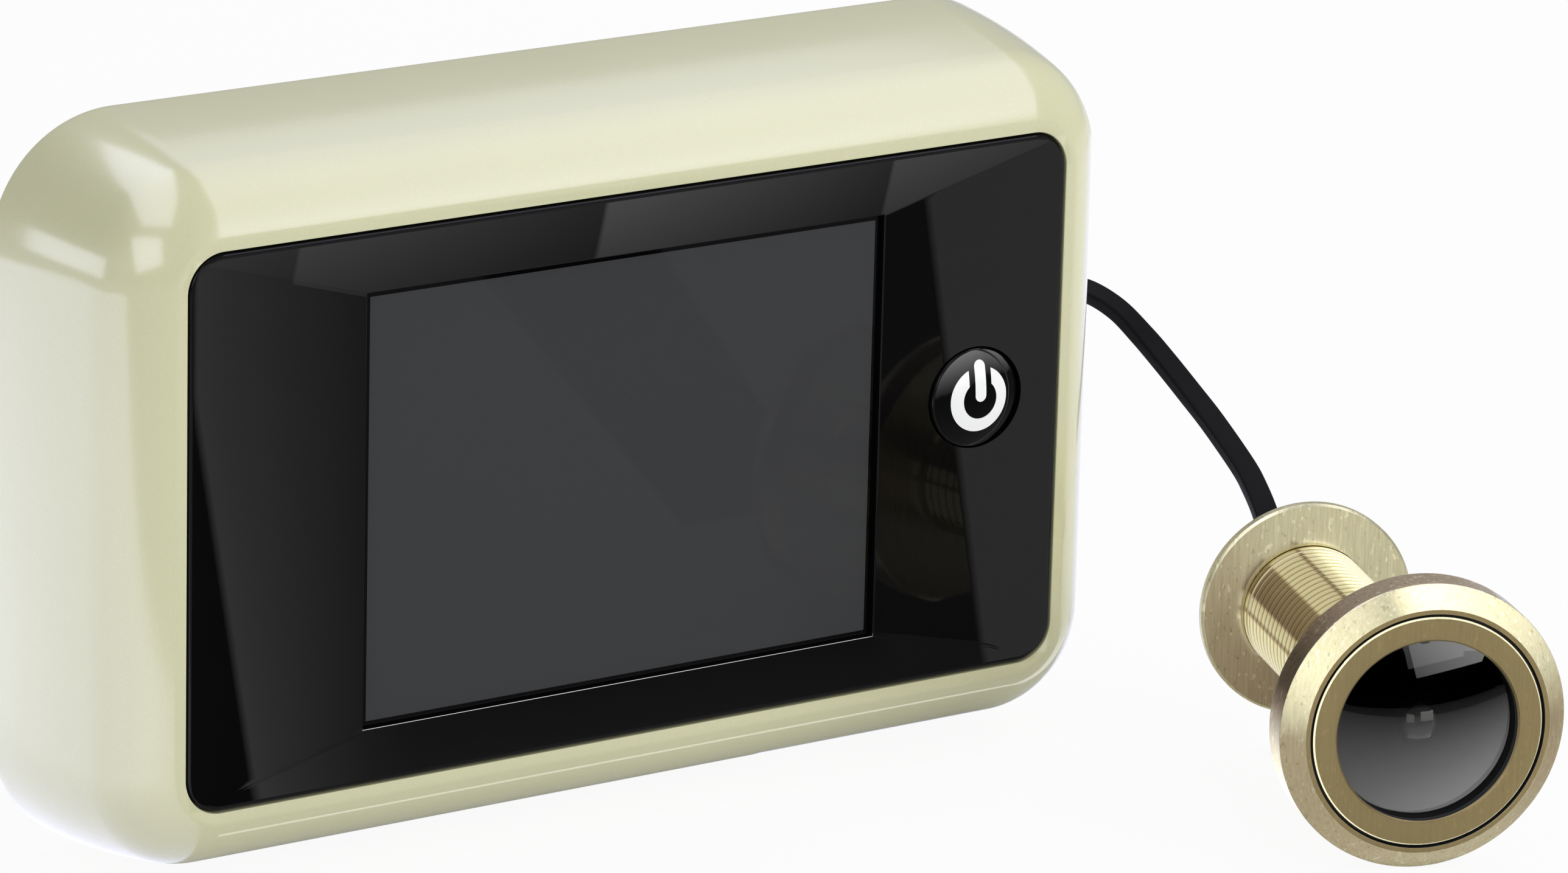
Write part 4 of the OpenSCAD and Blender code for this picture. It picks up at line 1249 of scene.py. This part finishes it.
def housing_lights():
    """Panels overhead and to the left, and light on the floor beside the housing."""
    even = (2.85, 2.85, 2.85, 2.85)
    for name, height, glow, corners in (
        ("panel_top_left", 900, even, ((247, 642), (25, 868), (-390, 620), (-89, -190))),
        ("panel_top_front", 900, even, ((-89, -190), (-390, 620), (-794, -251), (-391, -684))),
        ("panel_top_right", 850, (1.0, 1.0, 1.7, 1.7), ((438, 1056), (952, 1154), (655, 414), (330, 330))),
        ("panel_right", 850, (1.7, 1.7, 2.1, 2.1), ((330, 330), (655, 414), (690, -140), (304, -119))),
        ("panel_front_right", 850, (2.1, 2.2, 4.0, 2.8),
         ((304, -119), (690, -140), (1169, -1553), (663, -1597))),
    ):
        panel_light(name, [(x, y, height) for x, y in corners], glow)
    for name, x, glow, corners in (
        ("panel_left", -950, 3.2, ((-185, 709), (-1179, 1216), (-1485, 467), (-536, 142))),
        ("panel_low_left", -250, 3.0, ((15, 15), (159, 8), (159, 60), (15, 67))),
    ):
        panel_light(name, [(x, y, z) for y, z in corners], [glow] * 4)
    z = -38.1
    for name, x0, x1, y0, y1, glow in (
        ("floor_left", -112, -340, -90, 190, (2.6, 2.6, 2.1, 2.1)),
        ("floor_left_edge", -70, -112, -90, 190, (1.1, 2.6, 2.1, 1.1)),
        ("floor_right", 62, 330, -10, 170, (1.0, 1.0, 1.1, 1.1)),
        ("floor_under", 0, 62, -14, 60, (1.1, 1.1, 1.1, 1.1)),
    ):
        panel_light(name, [(x0, y0, z), (x1, y0, z), (x1, y1, z), (x0, y1, z)], glow)
    dark = [(32, -84, z), (88, -245, z), (118, -245, z), (50, -84, z)]
    panel_light("floor_dark", dark, (0.05, 0.05, 0.05, 0.05), 170.0, 70.0)


def level(table, place):
    """A strength read off a table of places and strengths."""
    for (a, first), (b, second) in zip(table, table[1:]):
        if place <= b:
            return first + (second - first) * max(0.0, place - a) / (b - a)
    return table[-1][1]


# Strengths along the top and low slopes, from left to right
TOP_LIGHT = (
    (-73, 1.7), (-61.7, 1.2), (-61.3, 2.3), (-26.5, 0.8), (-25.9, 3.2), (8.0, 0.9), (8.4, 2.6), (29, 1.4),
)
LOW_LIGHT = (
    (-73, 0.05), (-66.5, 0.04), (-65.2, 2.2), (-62, 1.65), (-58.7, 1.25), (-55.5, 0.92), (-52.3, 0.62),
    (-47, 0.46), (-28, 0.4), (-9, 0.4), (21.2, 0.3), (22.2, 1.5), (29.5, 1.5),
)
# Share of that strength left at the slope's inner edge
TOP_FALL = ((-73, 0.6), (29, 0.6))
LOW_FALL = ((-53, 1.0), (-42, 0.6), (8, 0.6), (12, 1.0))
# Edges of light on the side slopes: x, lean and the height where x is true
LEFT_EDGE = (-65.6, 0.178, -28.2)
RIGHT_EDGE = (17.6, 0.1667, -1.8)
LEFT_GLOW = 1.75
LEFT_FADE = 1.25
LEFT_FADE_END = -52.3
RIGHT_GLOW = 1.5
DARK_GLOW = 0.12
MITRE_LAP = 0.02


def leaning(edge, z):
    x, lean, level_z = edge
    return x - lean * (z - level_z)


def side_lights():
    """Boards close to the left and right slopes. The right one's dark part reaches past the camera unit."""
    def side(x, z):
        return Vector((x, -fascia_top(x + BORE_X, 0), z))

    left = Vector((DISH, -SIDE_RUN, 0))
    right = Vector((-DISH, -SIDE_RUN, 0))
    left_rows = []
    right_rows = []
    dark_rows = []
    dark_reach = []
    steps = 56
    for k in range(steps + 1):
        z = -RIM_H + 2 * RIM_H * k / steps
        part = min(1.0, (RIM_H - z) / TOP_RUN + MITRE_LAP, (RIM_H + z) / LOW_RUN + MITRE_LAP)
        inner = -BORE_X - RIM_W + part * SIDE_RUN
        edge = max(-73.2, leaning(LEFT_EDGE, z))
        table = [(-73.5, 0.06), (edge - 0.5, 0.03), (edge + 0.5, LEFT_GLOW)]
        for share in (j / 8 for j in range(1, 9)):
            table.append((edge + 0.3 + (LEFT_FADE_END - edge) * share, LEFT_GLOW - LEFT_FADE * share ** 0.8))
        left_rows.append([(side(min(x, inner), z), left, glow) for x, glow in table])
        inner = RIM_W - BORE_X - part * SIDE_RUN
        edge = leaning(RIGHT_EDGE, z)
        table = [(edge - 0.5, DARK_GLOW), (edge + 0.5, RIGHT_GLOW), (29.5, RIGHT_GLOW)]
        right_rows.append([(side(max(x, inner), z), right, glow) for x, glow in table])
        ends = (8.3, max(inner, edge - 0.45))
        dark_rows.append([(side(max(x, inner), z), right, DARK_GLOW) for x in ends])
        dark_reach.append(min(95.0, 3.1 * (z + 38.0)))
    reflector("left_slope_light", left_rows, 0.6, 0.3)
    reflector("right_slope_light", right_rows, 0.3, 0.3)
    reflector("right_slope_dark", dark_rows, dark_reach)


def band_light(name, table, fall, facing, rim_z, inner_z):
    """A board close to the top or low slope, with bands of light across it."""
    rows = []
    for k in range(409):
        x = -73.0 + 0.25 * k
        glow = level(table, x)
        part = min(1.0, (RIM_W - abs(x + BORE_X)) / SIDE_RUN + MITRE_LAP)
        deep = Vector((x, part * DISH - FRONT_H, rim_z + part * (inner_z - rim_z)))
        inner = glow * (1 - part + part * level(fall, x))
        rows.append([(Vector((x, -FRONT_H, rim_z)), facing, glow), (deep, facing, inner)])
    reflector(name, rows, 0.6, 0.3)


def button_lights():
    """What the dome mirrors: a light above with a straight lower edge, and a dark room below."""
    middle = panel(BUTTON_X, BUTTON_Z, BUTTON_APEX_H - DOME_R)

    def spot(u, v):
        r = 0.01 + 5.2 * v
        x, z = r * math.cos(2 * math.pi * u), r * math.sin(2 * math.pi * u)
        above = (z - 2.2 - 0.3 * min(x, 1.0)) / 2.8
        glow = 1.2 + 9.5 * above ** 1.4 if above > 0 else 0.12 + 0.07 * max(0.0, -z)
        p = dome_point(x, z, 0)
        return (p, p - middle, glow)

    reflector("button_light", grid(72, 14, spot), 0.6, 0.3)


def fascia_lights():
    """Light and dark boards close to the fascia's four slopes, the display's lower lip and the button."""
    side_lights()
    band_light("top_slope_light", TOP_LIGHT, TOP_FALL, Vector((0, -TOP_RUN, -DISH)), RIM_H, OPENING_TOP)
    band_light("low_slope_light", LOW_LIGHT, LOW_FALL, Vector((0, -LOW_RUN, DISH)), -RIM_H, -OPENING_LOW)
    lip = []
    lip_glow = 45.0
    for x in (OPENING_W, -OPENING_W):
        place = panel(x, -OPENING_LOW - 0.04, FRONT_H - DISH - 0.04)
        lip.append([(place, Vector((0, -math.cos(a), math.sin(a))), lip_glow) for a in (0.5, 0.8, 1.1)])
    reflector("display_lip_light", lip, 0.25, 0.4)
    button_lights()


# Strength by angle round the camera's axis, anticlockwise from the right
BARREL_LIGHT = (
    (30, 1.0), (60, 1.3), (70, 1.5), (76, 1.75), (88, 1.6), (94, 1.0), (101, 0.8), (103, 0.3), (105, 0.3),
    (107, 0.66), (129, 0.7), (132, 0.26), (159, 0.2), (162, 0.7), (171.5, 0.8), (173.5, 0.4), (175.5, 0.4),
    (178, 0.95), (230, 0.95),
)
WALL_LIGHT = (
    (60, 0.55), (100, 0.5), (125, 0.34), (140, 0.17), (150, 0.08), (162, 0.08), (170, 0.3), (178, 0.8),
    (187, 1.5), (202, 2.1), (260, 2.1),
)
CHAMFER_LIGHT = (
    (-180, 0.48), (-150, 0.48), (-90, 0.6), (-60, 0.6), (-27, 0.45), (3, 0.4), (20, 0.7), (38, 1.1),
    (86, 2.0), (96, 2.0), (108, 0.8), (125, 1.15), (150, 1.4), (165, 1.05), (180, 0.52),
)
EDGE_LIGHT = ((-180, 1.8), (180, 1.8))
FLANGE_LIGHT = (
    (-180, 0.46), (-135, 0.34), (-90, 0.26), (-45, 0.5), (0, 0.75), (70, 0.85), (110, 0.8), (180, 0.46),
)


def round_light(name, table, first, last, facing, reach=1.0, slack=0.8):
    """A board for a face turned about the camera's axis, between two points of its profile."""
    start, end = table[0][0], table[-1][0]

    def spot(u, v):
        angle = start + (end - start) * u
        out = Vector((math.cos(math.radians(angle)), math.sin(math.radians(angle)), 0))
        n = camera_spin @ (out * facing[0] + Vector((0, 0, facing[1])))
        r, z = (a + (b - a) * v for a, b in zip(first, last))
        return (camera_axis @ (out * r + Vector((0, 0, z))), n, level(table, angle))

    reflector(name, grid(end - start, 4, spot), reach, slack, finish=WARM)


def brass_lights():
    """Boards close to the brass faces that the photograph shows."""
    round_light("barrel_light", BARREL_LIGHT, (6.95, FLANGE_Z + 0.8), (6.95, -5.0), (1, 0))
    round_light("ring_wall_light", WALL_LIGHT, (15.0, -5.6), (15.0, -1.7), (1, 0))
    round_light("ring_chamfer_light", CHAMFER_LIGHT, (12.6, 0.15), (15.2, -2.05), (1.9, 2.2))
    round_light("retainer_edge_light", EDGE_LIGHT, (11.85, 0.02), (12.07, -0.2), (1, 1), 0.3, 0.25)
    round_light("flange_light", FLANGE_LIGHT, (7.0, FLANGE_Z), (11.6, FLANGE_Z), (0, 1))


def glass_lights():
    """What the cover glass mirrors: a dark room, a light floor with a curved edge, and a window."""
    def spot(x, y, glow):
        size = math.hypot(x, y)
        if size > GLASS_R:
            x, y = x * GLASS_R / size, y * GLASS_R / size
        deep = math.sqrt(GLASS_CROWN ** 2 - x * x - y * y)
        place = Vector((x, y, GLASS_FRONT + GLASS_RISE - GLASS_CROWN + deep))
        return (camera_axis @ place, camera_spin @ Vector((x, y, deep)), glow)

    def floor(u, v):
        x = (GLASS_R - 0.01) * (2 * u - 1)
        edge = 1.6 + 0.06 * x + 0.0175 * x * x
        below = max(edge + math.sqrt(GLASS_R ** 2 - x * x), 0) * v
        return spot(x, edge - below, 0.08 + (0.085 + 0.004 * x) * below)

    def window(u, v):
        x = -1.3 - 0.9 * v + (7.0 + 0.8 * v) * u
        y = 5.5 + 3.4 * v + (1.3 - 0.9 * v) * u
        return spot(x, y, 0.47 + 0.09 * (x + 1) + 0.09 * (y - 5.4))

    turn = [i * math.pi / 24 for i in range(49)]
    dark = [[spot(r * math.cos(a), r * math.sin(a), 0.0) for a in turn] for r in (0.01, 3, 6, 8, GLASS_R)]
    reflector("glass_dark", dark, 1.7, 0.6, True)
    reflector("glass_floor", grid(40, 24, floor), 1.5, 0.6, True)
    reflector("glass_window", grid(12, 8, window), 1.5, 0.6, True)


def lens_lights():
    """What the small lens mirrors: two windows above and a pale floor below."""
    for name, x0, x1, y0, y1, low, high in (
        ("lens_window_left", -1.45, -0.75, 0.25, 1.05, 0.9, 1.1),
        ("lens_window_right", -0.1, 1.3, 0.4, 1.3, 1.1, 2.0),
        ("lens_floor", -1.2, 1.2, -1.55, -0.35, 0.5, 0.2),
    ):
        def spot(u, v):
            x, y = x0 + (x1 - x0) * u, y0 + (y1 - y0) * v
            deep = LENS_RISE * math.sqrt(max(0.02, 1 - (x * x + y * y) / LENS_R ** 2))
            place = camera_axis @ Vector((x, y, deep + LENS_FRONT - LENS_RISE))
            facing = camera_spin @ Vector((x / LENS_R ** 2, y / LENS_R ** 2, deep / LENS_RISE ** 2))
            return (place, facing, low + (high - low) * v)

        reflector(name, grid(8, 8, spot), 0.12, 0.5)


def crease_lights():
    """A thin light along the housing's lower edge, which widens up the right side."""
    turn_in, _, bend = SHOULDER
    start = math.radians(turn_in)
    places = [(-CORNER_X + 2 * CORNER_X * k / 20, -CORNER_Z, -90) for k in range(21)]
    places += [(CORNER_X, -CORNER_Z, -90 + 4.5 * k) for k in range(1, 21)]
    places += [(CORNER_X, -CORNER_Z + 2 * CORNER_Z * k / 10, 0) for k in range(1, 11)]

    def spot(x, z, way, share):
        ux, uz = math.cos(math.radians(way)), math.sin(math.radians(way))
        wide = 1 + way / 90
        a = math.radians(59.8 - 4.3 * wide + (1.6 + 9.4 * wide) * share)
        r = FIT_R + BAND_W + CREASE_R * math.cos(start) + bend * (math.cos(a) - math.cos(start))
        d = CREASE_R * (1 - math.sin(start)) + bend * (math.sin(start) - math.sin(a))
        facing = Vector((math.cos(a) * ux, -math.sin(a), math.cos(a) * uz))
        return (panel(x + r * ux, z + r * uz, FRONT_H - d), facing, 2.0 - wide)

    reflector("crease_light", [[spot(*place, j / 4) for j in range(5)] for place in places], 0.4, 0.4)


housing_lights()
crease_lights()
lens_lights()
fascia_lights()
brass_lights()
glass_lights()


def softbox(name, place, aim, width, height, power):
    lamp = bpy.data.lights.new(name, "AREA")
    lamp.shape = "RECTANGLE"
    lamp.size = width
    lamp.size_y = height
    lamp.energy = power
    thing = linked(name, lamp)
    thing.location = place
    thing.rotation_euler = (Vector(aim) - Vector(place)).to_track_quat("-Z", "Y").to_euler()
    thing.visible_glossy = False


# Lamps: where each stands, what it looks at, its width, height and power
LAMPS = {
    "top_right": ((0.62, 0.05, 0.82), (-0.01, -0.01, 0.0), 0.60, 0.60, 4.0),
    "front_right": ((0.38, -0.92, 0.32), (0.0, -0.01, 0.0), 0.60, 0.50, 4.6),
    "left_low": ((-0.95, -0.12, 0.16), (-0.05, -0.01, 0.0), 0.50, 0.30, 1.6),
}
for lamp_name, lamp_sizes in LAMPS.items():
    softbox(lamp_name, *lamp_sizes)

world = bpy.data.worlds.new("studio_air")
world.use_nodes = True
air = world.node_tree.nodes["Background"]
air.inputs["Color"].default_value = (0.96, 0.98, 1.0, 1)
air.inputs["Strength"].default_value = 0.5
bpy.context.scene.world = world

bpy.context.scene.view_settings.view_transform = "Standard"
